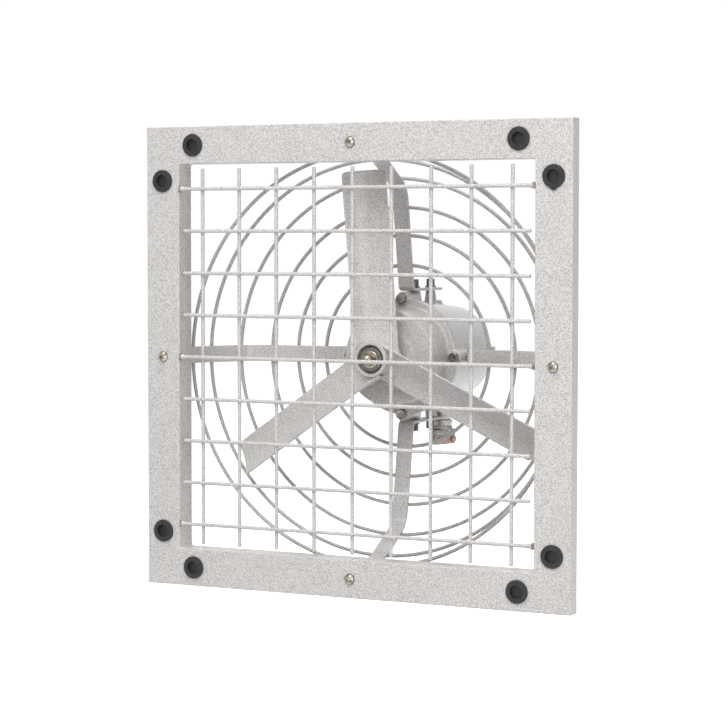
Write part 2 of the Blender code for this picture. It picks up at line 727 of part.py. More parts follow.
def blade_mesh():
    """Return one cambered blade, pointing up, as an open sheet."""
    front = Vector((-BLADE_FRONT_OFFSET, HUB_FRONT_DEPTH + BLADE_FRONT_SETBACK))
    back = Vector((BLADE_BACK_OFFSET, HUB_FRONT_DEPTH + BLADE_BACK_SETBACK))
    middle = (front + back) / 2
    chord = back - front
    normal = Vector((-chord.y, chord.x)).normalized()
    straight_end = IMPELLER_RADIUS - BLADE_TIP_ROUND
    rows = [
        (BLADE_ROOT_RADIUS + (straight_end - BLADE_ROOT_RADIUS) * step / BLADE_SPAN_STEPS, chord.length)
        for step in range(BLADE_SPAN_STEPS + 1)
    ]
    rows.append((IMPELLER_RADIUS, chord.length - 2 * BLADE_TIP_ROUND))

    def build(shape):
        grid = []
        for reach, width in rows:
            line = []
            for step in range(BLADE_CHORD_STEPS + 1):
                across = (2 * step / BLADE_CHORD_STEPS - 1) * width / chord.length
                point = middle + chord * across / 2 + normal * BLADE_CAMBER * (1 - across * across)
                height = math.sqrt(reach * reach - point.x * point.x) if reach > abs(point.x) else reach
                if reach == BLADE_ROOT_RADIUS:
                    height = reach
                line.append(shape.verts.new((point.x, point.y, height)))
            grid.append(line)
        for lower, upper in zip(grid, grid[1:]):
            for i in range(BLADE_CHORD_STEPS):
                shape.faces.new((lower[i], lower[i + 1], upper[i + 1], upper[i]))

    return mesh_from("blade", build)


def impeller():
    """One-piece impeller: three cambered blades on a hub with a well for the nut."""
    outline = [
        (0, HUB_BACK_DEPTH),
        (HUB_RADIUS - HUB_EDGE_ROUND, HUB_BACK_DEPTH),
        (HUB_RADIUS, HUB_BACK_DEPTH - HUB_EDGE_ROUND),
        (HUB_RADIUS, HUB_FRONT_DEPTH + HUB_EDGE_ROUND),
        (HUB_RADIUS - HUB_EDGE_ROUND, HUB_FRONT_DEPTH),
        (0, HUB_FRONT_DEPTH),
    ]
    hub = turned("impeller", outline, "hammer_paint", ROTOR_AXIS)
    mesh = blade_mesh()
    for number in range(BLADE_COUNT):
        blade = new_object(f"add_blade_{number}", mesh, parent=ROTOR_AXIS)
        blade.rotation_euler = (0, -BLADE_ANGLE + number * 4 * QUARTER_TURN / BLADE_COUNT, 0)
        sheet = blade.modifiers.new("thickness", "SOLIDIFY")
        sheet.thickness = BLADE_THICKNESS
        sheet.offset = 0
        boolean(hub, blade, "UNION")
    well_end = HUB_FRONT_DEPTH + HUB_WELL_DEPTH
    well = rod("cut_well", HUB_WELL_RADIUS, (0, HUB_FRONT_DEPTH - HUB_WELL_DEPTH, 0), (0, well_end, 0),
               BIG_SEGMENTS, parent=ROTOR_AXIS)
    boolean(hub, well, "DIFFERENCE")
    bore = rod("cut_bore", SHAFT_RADIUS + SEAT_GAP, (0, HUB_FRONT_DEPTH, 0), (0, HUB_BACK_DEPTH + OVERRUN, 0),
               SMALL_SEGMENTS, parent=ROTOR_AXIS)
    boolean(hub, bore, "DIFFERENCE")
    half = KEY_WIDTH / 2 + SEAT_GAP
    low = (-half, well_end - OVERRUN, 0)
    high = (half, HUB_BACK_DEPTH + OVERRUN, key_top() + SEAT_GAP)
    keyway = box("cut_keyway", low, high, parent=ROTOR_AXIS)
    boolean(hub, keyway, "DIFFERENCE")


def key_top():
    """Return the height of the key's upper face above the shaft's axis."""
    return SHAFT_RADIUS + KEY_HEIGHT * (1 - KEY_SINK_SHARE)


def shaft_shoulder_depths():
    """Return the depths where the shaft changes radius, from the front to the back."""
    return {
        "thread_end": HUB_FRONT_DEPTH + HUB_WELL_DEPTH,
        "journal_front": FRONT_BEARING_DEPTH - SEAT_GAP,
        "core_front": FRONT_BEARING_DEPTH + BEARING_WIDTH + SEAT_GAP,
        "core_back": REAR_BEARING_DEPTH - SEAT_GAP,
        "back": REAR_BEARING_DEPTH + BEARING_WIDTH,
    }


def shaft():
    """Stepped shaft, with a threaded front end, a keyway and two bearing journals."""
    steps = shaft_shoulder_depths()
    outline = [
        (0, steps["back"]),
        (SHAFT_JOURNAL_RADIUS, steps["back"]),
        (SHAFT_JOURNAL_RADIUS, steps["core_back"]),
        (SHAFT_CORE_RADIUS, steps["core_back"]),
        (SHAFT_CORE_RADIUS, steps["core_front"]),
        (SHAFT_JOURNAL_RADIUS, steps["core_front"]),
        (SHAFT_JOURNAL_RADIUS, steps["journal_front"]),
        (SHAFT_RADIUS, steps["journal_front"]),
        (SHAFT_RADIUS, steps["thread_end"]),
        (SHAFT_THREAD_RADIUS, steps["thread_end"]),
        (SHAFT_THREAD_RADIUS, SHAFT_THREAD_FRONT_DEPTH),
        (0, SHAFT_THREAD_FRONT_DEPTH),
    ]
    thing = turned("shaft", outline, "bearing_steel", ROTOR_AXIS, SMALL_SEGMENTS)
    low, high = key_corners(SEAT_GAP)
    slot = box("cut_key_seat", low, (high[0], high[1], high[2] + OVERRUN), parent=ROTOR_AXIS)
    boolean(thing, slot, "DIFFERENCE")


def key_corners(margin):
    """Return the key's two corners, grown by a margin in its seat."""
    back = HUB_BACK_DEPTH - KEY_WIDTH
    low = (-KEY_WIDTH / 2 - margin, back - KEY_LENGTH - margin, key_top() - KEY_HEIGHT - margin)
    high = (KEY_WIDTH / 2 + margin, back + margin, key_top())
    return low, high


def hub_fasteners():
    """Key, washer and flanged dome nut that hold the impeller on the shaft."""
    box("shaft_key", *key_corners(0), finish="bearing_steel", parent=ROTOR_AXIS)
    well_floor = HUB_FRONT_DEPTH + HUB_WELL_DEPTH
    washer_back = well_floor - SEAT_GAP
    washer_front = washer_back - WASHER_THICKNESS
    hole = SHAFT_THREAD_RADIUS + SEAT_GAP
    washer = [
        (WASHER_RADIUS, washer_back),
        (WASHER_RADIUS, washer_front),
        (hole, washer_front),
        (hole, washer_back),
    ]
    turned("hub_washer", washer, "bright_steel", ROTOR_AXIS, SMALL_SEGMENTS)
    nut_back = washer_front - SEAT_GAP
    flange_front = nut_back - NUT_FLANGE_HEIGHT
    hex_front = flange_front - NUT_HEX_HEIGHT
    flange = [
        (0, nut_back),
        (NUT_FLANGE_RADIUS, nut_back),
        (NUT_FLANGE_RADIUS, flange_front),
        (0, flange_front),
    ]
    nut = turned("hub_nut", flange, "nickel_brass", ROTOR_AXIS, SMALL_SEGMENTS)
    body = rod("add_hex", NUT_HEX_RADIUS, (0, flange_front + NUT_FLANGE_HEIGHT / 2, 0), (0, hex_front, 0), 6,
               parent=ROTOR_AXIS)
    boolean(nut, body, "UNION")
    dome = [
        (NUT_DOME_RADIUS * math.cos(angle), hex_front - NUT_DOME_RADIUS * math.sin(angle))
        for angle in (QUARTER_TURN * step / DOME_STEPS for step in range(DOME_STEPS))
    ]
    inner = hex_front + NUT_HEX_HEIGHT / 2
    cap = [(0, inner), (NUT_DOME_RADIUS, inner)] + dome + [(0, hex_front - NUT_DOME_RADIUS)]
    boolean(nut, turned("add_dome", cap, parent=ROTOR_AXIS, segments=SMALL_SEGMENTS), "UNION")
    tap_end = SHAFT_THREAD_FRONT_DEPTH - NUT_TAP_WALL
    tap = rod("cut_tap", hole, (0, tap_end, 0), (0, nut_back + OVERRUN, 0), parent=ROTOR_AXIS)
    boolean(nut, tap, "DIFFERENCE")


def ear_rods(name, start_depth, end_depth, radius):
    """Return a rod along the axis at each cover bolt's place."""
    rods = []
    for index, side in enumerate(SIDE_NAMES):
        centre = side_matrix(index) @ Vector((0, 0, BOLT_CIRCLE_RADIUS))
        start = centre + Vector((0, start_depth, 0))
        end = centre + Vector((0, end_depth, 0))
        rods.append(rod(f"{name}_{side}", radius, start, end))
    return rods


def front_cover():
    """Cast end shield: a raised face, a flange with four ears and a bearing seat inside."""
    flange_back = COVER_BACK_DEPTH
    spigot_radius = CORE_OUTER_RADIUS
    outer = [
        (0, flange_back + COVER_SPIGOT_LENGTH),
        (spigot_radius, flange_back + COVER_SPIGOT_LENGTH),
        (spigot_radius, flange_back),
        (COVER_FLANGE_RADIUS, flange_back),
        (COVER_FLANGE_RADIUS, COVER_FLANGE_DEPTH),
        (COVER_SIDE_RADIUS, COVER_FLANGE_DEPTH),
        (COVER_FACE_RADIUS, COVER_FACE_DEPTH + COVER_EDGE_ROUND),
        (COVER_FACE_RADIUS - COVER_EDGE_ROUND, COVER_FACE_DEPTH),
        (0, COVER_FACE_DEPTH),
    ]
    cover = turned("front_cover", outer, "hammer_paint")
    for ear in ear_rods("add_ear", COVER_FLANGE_DEPTH - EAR_RISE, flange_back - EAR_RISE, EAR_RADIUS):
        boolean(cover, ear, "UNION")
    seat_radius = BEARING_OUTER_RADIUS + SEAT_GAP
    boss_radius = seat_radius + BEARING_BOSS_WALL
    seat_back = FRONT_BEARING_DEPTH + BEARING_WIDTH
    inside = COVER_FACE_DEPTH + COVER_WALL
    hollow_radius = COVER_FACE_RADIUS - COVER_WALL
    spigot_bore = spigot_radius - COVER_SPIGOT_WALL
    hollow = [
        (0, flange_back + COVER_SPIGOT_LENGTH + OVERRUN),
        (spigot_bore, flange_back + COVER_SPIGOT_LENGTH + OVERRUN),
        (spigot_bore, COVER_FLANGE_DEPTH),
        (hollow_radius, inside),
        (boss_radius, inside),
        (boss_radius, seat_back),
        (seat_radius, seat_back),
        (seat_radius, FRONT_BEARING_DEPTH - SEAT_GAP),
        (SEAL_RADIUS + SEAT_GAP, FRONT_BEARING_DEPTH - SEAT_GAP),
        (SEAL_RADIUS + SEAT_GAP, COVER_FACE_DEPTH - OVERRUN),
        (0, COVER_FACE_DEPTH - OVERRUN),
    ]
    boolean(cover, turned("cut_cover_hollow", hollow), "DIFFERENCE")
    hole_radius = COVER_BOLT_RADIUS + SCREW_CLEARANCE
    for hole in ear_rods("cut_ear", COVER_FLANGE_DEPTH - OVERRUN, flange_back + OVERRUN, hole_radius):
        boolean(cover, hole, "DIFFERENCE")


def housing_outline(front):
    """Return the outer outline of the motor housing: a drafted drum with a domed end."""
    dome = [
        (HOUSING_REAR_RADIUS * math.cos(angle), HOUSING_REAR_DEPTH + HOUSING_DOME_HEIGHT * math.sin(angle))
        for angle in (QUARTER_TURN * step / DOME_STEPS for step in range(DOME_STEPS))
    ]
    end = (0, HOUSING_REAR_DEPTH + HOUSING_DOME_HEIGHT)
    return [end] + dome[::-1] + [(HOUSING_FRONT_RADIUS, front), (0, front)]


def motor_housing():
    """Cast motor shell with bolt bosses, posts for the stays and a cable entry."""
    front = COVER_BACK_DEPTH + SEAT_GAP
    housing = turned("motor_housing", housing_outline(front), "hammer_paint")
    for boss in ear_rods("add_boss", front + EAR_RISE, front + EAR_BOSS_LENGTH, EAR_RADIUS):
        boolean(housing, boss, "UNION")
    top = STAY_PAD_RADIUS - STAY_THICKNESS / 2 - SEAT_GAP
    posts = (("front", FRONT_POST_DEPTH, FRONT_POST_RADIUS), ("rear", REAR_POST_DEPTH, REAR_POST_RADIUS))
    for index, side in enumerate(SIDE_NAMES):
        turn = side_matrix(index)
        for place, depth, radius in posts:
            root = turn @ Vector((0, depth, POST_ROOT_RADIUS))
            end = turn @ Vector((0, depth, top))
            post = rod(f"add_post_{place}_{side}", radius + POST_FLARE, root, end, end_radius=radius)
            boolean(housing, post, "UNION")
    entry = rod("add_entry", ENTRY_BOSS_RADIUS, (0, GLAND_DEPTH, -POST_ROOT_RADIUS + ENTRY_BOSS_RADIUS),
                (0, GLAND_DEPTH, -ENTRY_BOSS_BOTTOM), SMALL_SEGMENTS)
    boolean(housing, entry, "UNION")
    nub_root = (0, NUB_DEPTH, POST_ROOT_RADIUS - NUB_RADIUS)
    nub = rod("add_nub", NUB_RADIUS, nub_root, (0, NUB_DEPTH, NUB_TOP_RADIUS))
    boolean(housing, nub, "UNION")
    cavity_radius = CORE_OUTER_RADIUS + SEAT_GAP
    seat_radius = BEARING_OUTER_RADIUS + SEAT_GAP
    seat_back = REAR_BEARING_DEPTH + BEARING_WIDTH + SEAT_GAP
    cavity = [
        (0, seat_back),
        (seat_radius, seat_back),
        (seat_radius, CAVITY_END_DEPTH),
        (cavity_radius, CAVITY_END_DEPTH),
        (cavity_radius, front - OVERRUN),
        (0, front - OVERRUN),
    ]
    boolean(housing, turned("cut_cavity", cavity), "DIFFERENCE")
    for hole in ear_rods("cut_boss", front - OVERRUN, cover_bolt_end() + OVERRUN,
                         COVER_BOLT_RADIUS + SCREW_CLEARANCE):
        boolean(housing, hole, "DIFFERENCE")
    for index, side in enumerate(SIDE_NAMES):
        turn = side_matrix(index)
        for place, depth in foot_bolt_depths().items():
            start = turn @ Vector((0, depth, foot_bolt_end() - SEAT_GAP))
            end = turn @ Vector((0, depth, top + OVERRUN))
            hole = rod(f"cut_post_{place}_{side}", FOOT_BOLT_RADIUS + SCREW_CLEARANCE, start, end)
            boolean(housing, hole, "DIFFERENCE")
    entry_hole = rod("cut_entry", GLAND_BORE_RADIUS, (0, GLAND_DEPTH, -cavity_radius + OVERRUN),
                     (0, GLAND_DEPTH, -ENTRY_BOSS_BOTTOM - OVERRUN))
    boolean(housing, entry_hole, "DIFFERENCE")


def cover_bolt_end():
    """Return the depth of a cover bolt's tip."""
    return COVER_FLANGE_DEPTH + COVER_BOLT_LENGTH


def foot_bolt_end():
    """Return the radius that a foot bolt's tip reaches in its post."""
    return STAY_PAD_RADIUS + STAY_THICKNESS / 2 - FOOT_BOLT_LENGTH


def motor_inside():
    """Laminated stator core, end windings and rotor core."""
    back = CORE_FRONT_DEPTH + CORE_LENGTH
    ring = [
        (CORE_OUTER_RADIUS, back),
        (CORE_OUTER_RADIUS, CORE_FRONT_DEPTH),
        (CORE_BORE_RADIUS, CORE_FRONT_DEPTH),
        (CORE_BORE_RADIUS, back),
    ]
    turned("stator_core", ring, "electrical_steel")
    for place, start, direction in (
        ("front", CORE_FRONT_DEPTH - SEAT_GAP, -1),
        ("rear", back + SEAT_GAP, 1),
    ):
        end = start + direction * WINDING_LENGTH
        shoulder = end - direction * WINDING_ROUND
        coil = [
            (WINDING_OUTER_RADIUS, start),
            (WINDING_OUTER_RADIUS, shoulder),
            (WINDING_OUTER_RADIUS - WINDING_ROUND, end),
            (WINDING_INNER_RADIUS + WINDING_ROUND, end),
            (WINDING_INNER_RADIUS, shoulder),
            (WINDING_INNER_RADIUS, start),
        ]
        turned(f"winding_{place}", coil, "enamelled_copper")
    radius = CORE_BORE_RADIUS - AIR_GAP
    bore = SHAFT_CORE_RADIUS + SEAT_GAP
    low, high = CORE_FRONT_DEPTH - ROTOR_OVERHANG, back + ROTOR_OVERHANG
    rotor = [(radius, high), (radius, low), (bore, low), (bore, high)]
    turned("rotor_core", rotor, "electrical_steel", ROTOR_AXIS)


def race(edge_radius, front, bulge):
    """Return the points of a ring's raceway, deeper in the middle than at its edges."""
    middle = front + BEARING_WIDTH / 2
    half = BALL_RADIUS
    return [
        (edge_radius, front),
        (edge_radius, middle - half),
        (edge_radius + bulge, middle - half / 2),
        (edge_radius + bulge, middle + half / 2),
        (edge_radius, middle + half),
        (edge_radius, front + BEARING_WIDTH),
    ]


def bearing(place, front):
    """Ball bearing: outer ring, inner ring, and balls held in a cage."""
    back = front + BEARING_WIDTH
    outer_edge = BEARING_OUTER_RADIUS - BEARING_OUTER_WALL
    inner_edge = SHAFT_JOURNAL_RADIUS + SEAT_GAP + BEARING_INNER_WALL
    pitch_radius = (outer_edge + inner_edge) / 2
    bulge = BALL_RADIUS + RACE_CLEARANCE - (outer_edge - inner_edge) / 2
    outer = [(BEARING_OUTER_RADIUS, back), (BEARING_OUTER_RADIUS, front)] + race(outer_edge, front, bulge)
    turned(f"{place}_bearing_outer", outer, "bearing_steel", segments=SMALL_SEGMENTS)
    bore = SHAFT_JOURNAL_RADIUS + SEAT_GAP
    inner = [(bore, front)] + race(inner_edge, front, -bulge) + [(bore, back)]
    turned(f"{place}_bearing_inner", inner, "bearing_steel", ROTOR_AXIS, SMALL_SEGMENTS)
    middle = front + BEARING_WIDTH / 2
    low, high = middle - CAGE_WIDTH / 2, middle + CAGE_WIDTH / 2
    inside, outside = pitch_radius - CAGE_THICKNESS / 2, pitch_radius + CAGE_THICKNESS / 2
    carrier = make_empty(f"{place}_ball_axis", FRONT_PLANE)
    cage = turned(f"{place}_ball_cage", [(outside, high), (outside, low), (inside, low), (inside, high)],
                  "bearing_steel", carrier, SMALL_SEGMENTS)

    def build(shape):
        for number in range(BALL_COUNT):
            angle = number * 4 * QUARTER_TURN / BALL_COUNT
            spot = Vector((pitch_radius * math.cos(angle), middle, pitch_radius * math.sin(angle)))
            bmesh.ops.create_uvsphere(
                shape, u_segments=BALL_SEGMENTS, v_segments=BALL_RINGS, radius=BALL_RADIUS,
                matrix=Matrix.Translation(spot),
            )

    balls = new_object(f"add_{place}_balls", mesh_from(f"{place}_balls", build), parent=carrier)
    boolean(cage, balls, "UNION")


def shaft_seal():
    """Lip seal in the front cover, round the shaft."""
    front = COVER_FACE_DEPTH + SEAT_GAP
    back = front + SEAL_THICKNESS
    bore = SHAFT_RADIUS + SEAL_LIP_CLEARANCE
    outline = [(SEAL_RADIUS, back), (SEAL_RADIUS, front), (bore, front), (bore, back)]
    turned("shaft_seal", outline, "black_rubber", segments=SMALL_SEGMENTS)


def cover_bolts():
    """Hexagon bolts that close the front cover."""
    seat = COVER_FLANGE_DEPTH - EAR_RISE - SEAT_GAP
    head_start = (0, seat - COVER_BOLT_HEAD_HEIGHT, BOLT_CIRCLE_RADIUS)
    bolt = rod("bolt", COVER_BOLT_HEAD_RADIUS, head_start, (0, seat, BOLT_CIRCLE_RADIUS), 6)
    middle = (0, seat - COVER_BOLT_HEAD_HEIGHT / 2, BOLT_CIRCLE_RADIUS)
    shank = rod("add_shank", COVER_BOLT_RADIUS, middle, (0, cover_bolt_end(), BOLT_CIRCLE_RADIUS))
    boolean(bolt, shank, "UNION")
    mesh = placed_mesh(bolt)
    mesh.materials.append(MATERIALS["dark_steel"])
    four_sides("cover_bolt", mesh, "dark_steel")


def placed_mesh(thing):
    """Bake an object to a mesh whose points are where the object stood."""
    bpy.context.view_layer.update()
    place = thing.matrix_basis.copy()
    mesh = baked_mesh(thing)
    mesh.transform(place)
    return mesh


def foot_bolts():
    """Socket head screws with washers that hold the stays' pads to the motor's posts."""
    seat = STAY_PAD_RADIUS + STAY_THICKNESS / 2 + SEAT_GAP
    washer_top = seat + FOOT_BOLT_WASHER_HEIGHT
    head_top = washer_top + FOOT_BOLT_HEAD_HEIGHT
    for place, depth in foot_bolt_depths().items():
        washer = rod("washer", FOOT_BOLT_WASHER_RADIUS, (0, depth, seat), (0, depth, washer_top))
        inside = washer_top - FOOT_BOLT_WASHER_HEIGHT / 2
        head = rod("add_head", FOOT_BOLT_HEAD_RADIUS, (0, depth, inside), (0, depth, head_top))
        boolean(washer, head, "UNION")
        shank = rod("add_shank", FOOT_BOLT_RADIUS, (0, depth, foot_bolt_end()), (0, depth, inside))
        boolean(washer, shank, "UNION")
        socket = rod("cut_socket", FOOT_BOLT_SOCKET_RADIUS, (0, depth, head_top - FOOT_BOLT_SOCKET_DEPTH),
                     (0, depth, head_top + OVERRUN), 6)
        boolean(washer, socket, "DIFFERENCE")
        mesh = placed_mesh(washer)
        mesh.materials.append(MATERIALS["dark_steel"])
        four_sides(f"foot_bolt_{place}", mesh, "dark_steel")


def gland_tube(name, outline, finish):
    """Turn an outline of (radius, distance below the axis) about the cable's line."""
    thing = turned(name, outline, finish, segments=SMALL_SEGMENTS)
    thing.rotation_euler = (2 * QUARTER_TURN, 0, 0)
    thing.location = (0, GLAND_DEPTH, 0)
    return thing


def cable_gland():
    """Cable gland under the motor: body, ribbed nut, saddle, clamp and two clamp screws."""
    body_top = ENTRY_BOSS_BOTTOM + SEAT_GAP
    body = [
        (GLAND_BODY_RADIUS, GLAND_BODY_BOTTOM),
        (GLAND_BODY_RADIUS, body_top),
        (GLAND_BORE_RADIUS, body_top),
        (GLAND_BORE_RADIUS, GLAND_BODY_BOTTOM),
    ]
    gland_tube("gland_body", body, "nickel_brass")
    nut_top = GLAND_BODY_BOTTOM + SEAT_GAP
    band = (GLAND_NUT_BOTTOM - nut_top) / GLAND_NUT_BANDS
    groove_top, groove_bottom = nut_top + band, GLAND_NUT_BOTTOM - band
    nut = [
        (GLAND_NUT_RADIUS - GLAND_GROOVE, GLAND_NUT_BOTTOM),
        (GLAND_NUT_RADIUS, GLAND_NUT_BOTTOM - GLAND_GROOVE),
        (GLAND_NUT_RADIUS, groove_bottom),
        (GLAND_NUT_RADIUS - GLAND_GROOVE, groove_bottom),
        (GLAND_NUT_RADIUS - GLAND_GROOVE, groove_top),
        (GLAND_NUT_RADIUS, groove_top),
        (GLAND_NUT_RADIUS, nut_top),
        (GLAND_BORE_RADIUS, nut_top),
        (GLAND_BORE_RADIUS, GLAND_NUT_BOTTOM),
    ]
    gland_tube("gland_nut", nut, "nickel_brass")
    turned_frame = make_empty("gland_turn", FRONT_PLANE, (0, GLAND_DEPTH, 0))
    turned_frame.rotation_euler = (0, 0, GLAND_TURN)
    saddle_top = -GLAND_NUT_BOTTOM - SEAT_GAP
    saddle_bottom = saddle_top - GLAND_SADDLE_HEIGHT
    gland_block("gland_saddle", saddle_bottom, saddle_top, turned_frame)
    clamp_top = saddle_bottom - SEAT_GAP
    clamp_bottom = clamp_top - GLAND_CLAMP_HEIGHT
    clamp = gland_block("gland_clamp", clamp_bottom, clamp_top, turned_frame)
    middle = (clamp_top + clamp_bottom) / 2
    front = -GLAND_BLOCK_WIDTH / 2
    seat = front - SEAT_GAP
    for name, side in (("front", -1), ("rear", 1)):
        x = side * GLAND_SCREW_SPACING / 2
        tip = front + GLAND_SCREW_LENGTH
        hole = rod(f"cut_clamp_{name}", GLAND_SCREW_RADIUS + SCREW_CLEARANCE, (x, front - OVERRUN, middle),
                   (x, tip + SEAT_GAP, middle), parent=turned_frame)
        boolean(clamp, hole, "DIFFERENCE")
        head_front = (x, seat - GLAND_SCREW_HEAD_HEIGHT, middle)
        head = rod(f"gland_screw_{name}", GLAND_SCREW_HEAD_RADIUS, head_front, (x, seat, middle),
                   finish="bright_steel", parent=turned_frame)
        inside = (x, seat - GLAND_SCREW_HEAD_HEIGHT / 2, middle)
        shank = rod(f"add_shank_{name}", GLAND_SCREW_RADIUS, inside, (x, tip, middle), parent=turned_frame)
        boolean(head, shank, "UNION")


def gland_block(name, bottom, top, parent):
    """Make a rounded block of the gland between two heights, with the cable's bore through it."""
    half_length, half_width = GLAND_BLOCK_LENGTH / 2, GLAND_BLOCK_WIDTH / 2
    low = (-half_length, -half_width, bottom)
    high = (half_length, half_width, top)
    block = box(name, low, high, "nickel_brass", parent)
    rounding = block.modifiers.new("edges", "BEVEL")
    rounding.width = GLAND_BLOCK_ROUND
    rounding.segments = 1
    bore = rod(f"cut_{name}_bore", GLAND_CLAMP_BORE_RADIUS, (0, 0, bottom - OVERRUN), (0, 0, top + OVERRUN),
               parent=parent)
    boolean(block, bore, "DIFFERENCE")
    return block


def main():
    """Build every piece of the fan."""
    frame()
    rubber_plugs()
    stays()
    stay_screws()
    guard_rings()
    front_grille()
    impeller()
    shaft()
    hub_fasteners()
    front_cover()
    motor_housing()
    motor_inside()
    bearing("front", FRONT_BEARING_DEPTH)
    bearing("rear", REAR_BEARING_DEPTH)
    shaft_seal()
    cover_bolts()
    foot_bolts()
    cable_gland()


main()
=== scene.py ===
"""Looks of a square wall exhaust fan: its finishes, fine meshes, floor, light and camera.

Units are metres and +Z is up. The fan faces -Y and its shaft runs along Y through the origin.
Sizes named depth are measured backwards from the front face of the fan's frame.
"""

import logging
import math
from collections.abc import Callable, Iterable, Mapping, Sequence
from dataclasses import dataclass, field
from enum import Enum

import bmesh
import bpy
from bmesh.types import BMesh, BMVert
from bpy.types import Material, Mesh, Node, NodeSocket, NodeTree, Object
from mathutils import Euler, Matrix, Vector

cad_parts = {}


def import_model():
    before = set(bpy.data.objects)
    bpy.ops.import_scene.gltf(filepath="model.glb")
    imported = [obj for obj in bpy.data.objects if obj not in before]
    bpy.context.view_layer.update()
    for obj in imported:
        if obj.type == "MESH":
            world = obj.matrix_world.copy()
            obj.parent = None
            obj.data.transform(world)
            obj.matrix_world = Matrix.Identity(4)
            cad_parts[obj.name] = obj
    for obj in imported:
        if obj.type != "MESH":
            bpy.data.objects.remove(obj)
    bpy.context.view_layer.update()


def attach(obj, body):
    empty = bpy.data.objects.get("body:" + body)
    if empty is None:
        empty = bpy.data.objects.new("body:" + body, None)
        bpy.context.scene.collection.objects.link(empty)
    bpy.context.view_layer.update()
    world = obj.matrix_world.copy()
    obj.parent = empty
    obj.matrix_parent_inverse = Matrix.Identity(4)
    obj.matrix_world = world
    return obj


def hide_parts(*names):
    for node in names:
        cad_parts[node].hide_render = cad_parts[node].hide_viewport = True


LOG = logging.getLogger("exhaust_fan")

MILLIMETRE = 0.001
FRONT_Y = -0.016
SEAT_GAP = 0.0003
SHARP_ANGLE = math.radians(38)
QUARTER_TURN = math.radians(90)
FULL_TURN = math.radians(360)
MERGE_DISTANCE = 0.00001
SIDES = ("top", "right", "bottom", "left")
FINE_SIDES = 96
TURNED_SIDES = 64
NUT_SIDES = 72
SMALL_SIDES = 48
ROD_SIDES = 24
WIRE_SIDES = 14
WIRE_END_SHARE = 0.45
EASED_EDGE = 0.0003
WELD_SEED = 7
CONE_SLOPE = 1.7
WAVE_SPAN = 20
DOME_STEPS = 8
FORWARD = Matrix.Translation((0, FRONT_Y, 0))

Corner = tuple[float, float, float]
RadiusAt = Callable[[float], float]
Level = tuple[float, float | RadiusAt]


class Slot(Enum):
    """The record's material slots that the pieces take their finish from."""

    PAINT = "hammer_paint"
    RUBBER = "black_rubber"
    BRIGHT = "bright_steel"
    DARK = "dark_steel"
    BEARING = "bearing_steel"
    NICKEL = "nickel_brass"


# Colours and nodes


def linear(hex_colour: str) -> tuple[float, float, float, float]:
    """Turn an sRGB hex colour into linear light.

    Args:
        hex_colour: The colour as "#rrggbb".

    Returns:
        Red, green, blue and an alpha of 1.
    """
    channels = [int(hex_colour[start : start + 2], 16) / 255 for start in (1, 3, 5)]
    light = [c / 12.92 if c <= 0.04045 else ((c + 0.055) / 1.055) ** 2.4 for c in channels]
    return (*light, 1.0)


def add_node(
    tree: NodeTree, kind: str, links: Mapping | None = None, **settings: object
) -> Node:
    """Add a node with its settings and links.

    Args:
        tree: The tree that gets the node.
        kind: The node's type.
        links: For each input's name or number, the output that feeds it or its plain value.
        settings: The node's own properties.

    Returns:
        The new node.
    """
    node = tree.nodes.new(kind)
    for name, value in settings.items():
        setattr(node, name, value)
    for place, source in (links or {}).items():
        if isinstance(source, NodeSocket):
            tree.links.new(source, node.inputs[place])
        else:
            node.inputs[place].default_value = source
    return node


class Surface:
    """One material under construction, with its tree and its Principled shader."""

    def __init__(self, name: str) -> None:
        """Start a material of that name."""
        self.material = bpy.data.materials.new(name)
        self.material.use_nodes = True
        self.tree = self.material.node_tree
        self.shader = self.tree.nodes["Principled BSDF"]
        self.place = add_node(self.tree, "ShaderNodeTexCoord").outputs["Object"]

    def node(self, kind: str, links: Mapping | None = None, **settings: object) -> Node:
        """Add a node to this material's tree."""
        return add_node(self.tree, kind, links, **settings)

    def noise(
        self, size: float, detail: float = 2.0, place: NodeSocket | None = None
    ) -> Node:
        """Add noise whose grains are about the given size in metres.

        Args:
            size: The grain's size.
            detail: How many finer layers the noise has.
            place: The coordinates, or None for the piece's own.

        Returns:
            The noise node.
        """
        vector = place or self.place
        return self.node("ShaderNodeTexNoise", {"Vector": vector, "Scale": 1 / size, "Detail": detail})

    def ramp(self, source: NodeSocket, stops: Sequence[tuple[float, str]]) -> NodeSocket:
        """Turn a value into colours.

        Args:
            source: The value's output.
            stops: Places from 0 to 1 with their hex colours.

        Returns:
            The colour output.
        """
        node = self.node("ShaderNodeValToRGB", {"Fac": source})
        while len(node.color_ramp.elements) < len(stops):
            node.color_ramp.elements.new(0.5)
        for element, (place, colour) in zip(node.color_ramp.elements, stops):
            element.position = place
            element.color = linear(colour)
        return node.outputs["Color"]

    def span(self, source: NodeSocket, low: float, high: float) -> NodeSocket:
        """Spread a value of 0 to 1 over another span and return the output."""
        node = self.node("ShaderNodeMapRange", {"Value": source, "To Min": low, "To Max": high})
        return node.outputs["Result"]

    def bump(self, height: NodeSocket, depth: float) -> NodeSocket:
        """Add a bump of a real depth.

        Args:
            height: The height's output, from 0 to 1.
            depth: What a height of 1 stands for, in metres.

        Returns:
            The normal output.
        """
        links = {"Height": height, "Distance": depth, "Strength": 1.0}
        return self.node("ShaderNodeBump", links).outputs["Normal"]

    def finish(self, **inputs: object) -> Material:
        """Set or link the shader's inputs, named with underscores, and return the material."""
        for name, value in inputs.items():
            socket = self.shader.inputs[name.replace("_", " ").title().replace("Ior", "IOR")]
            if isinstance(value, NodeSocket):
                self.tree.links.new(value, socket)
            else:
                socket.default_value = value
        return self.material


# Finishes


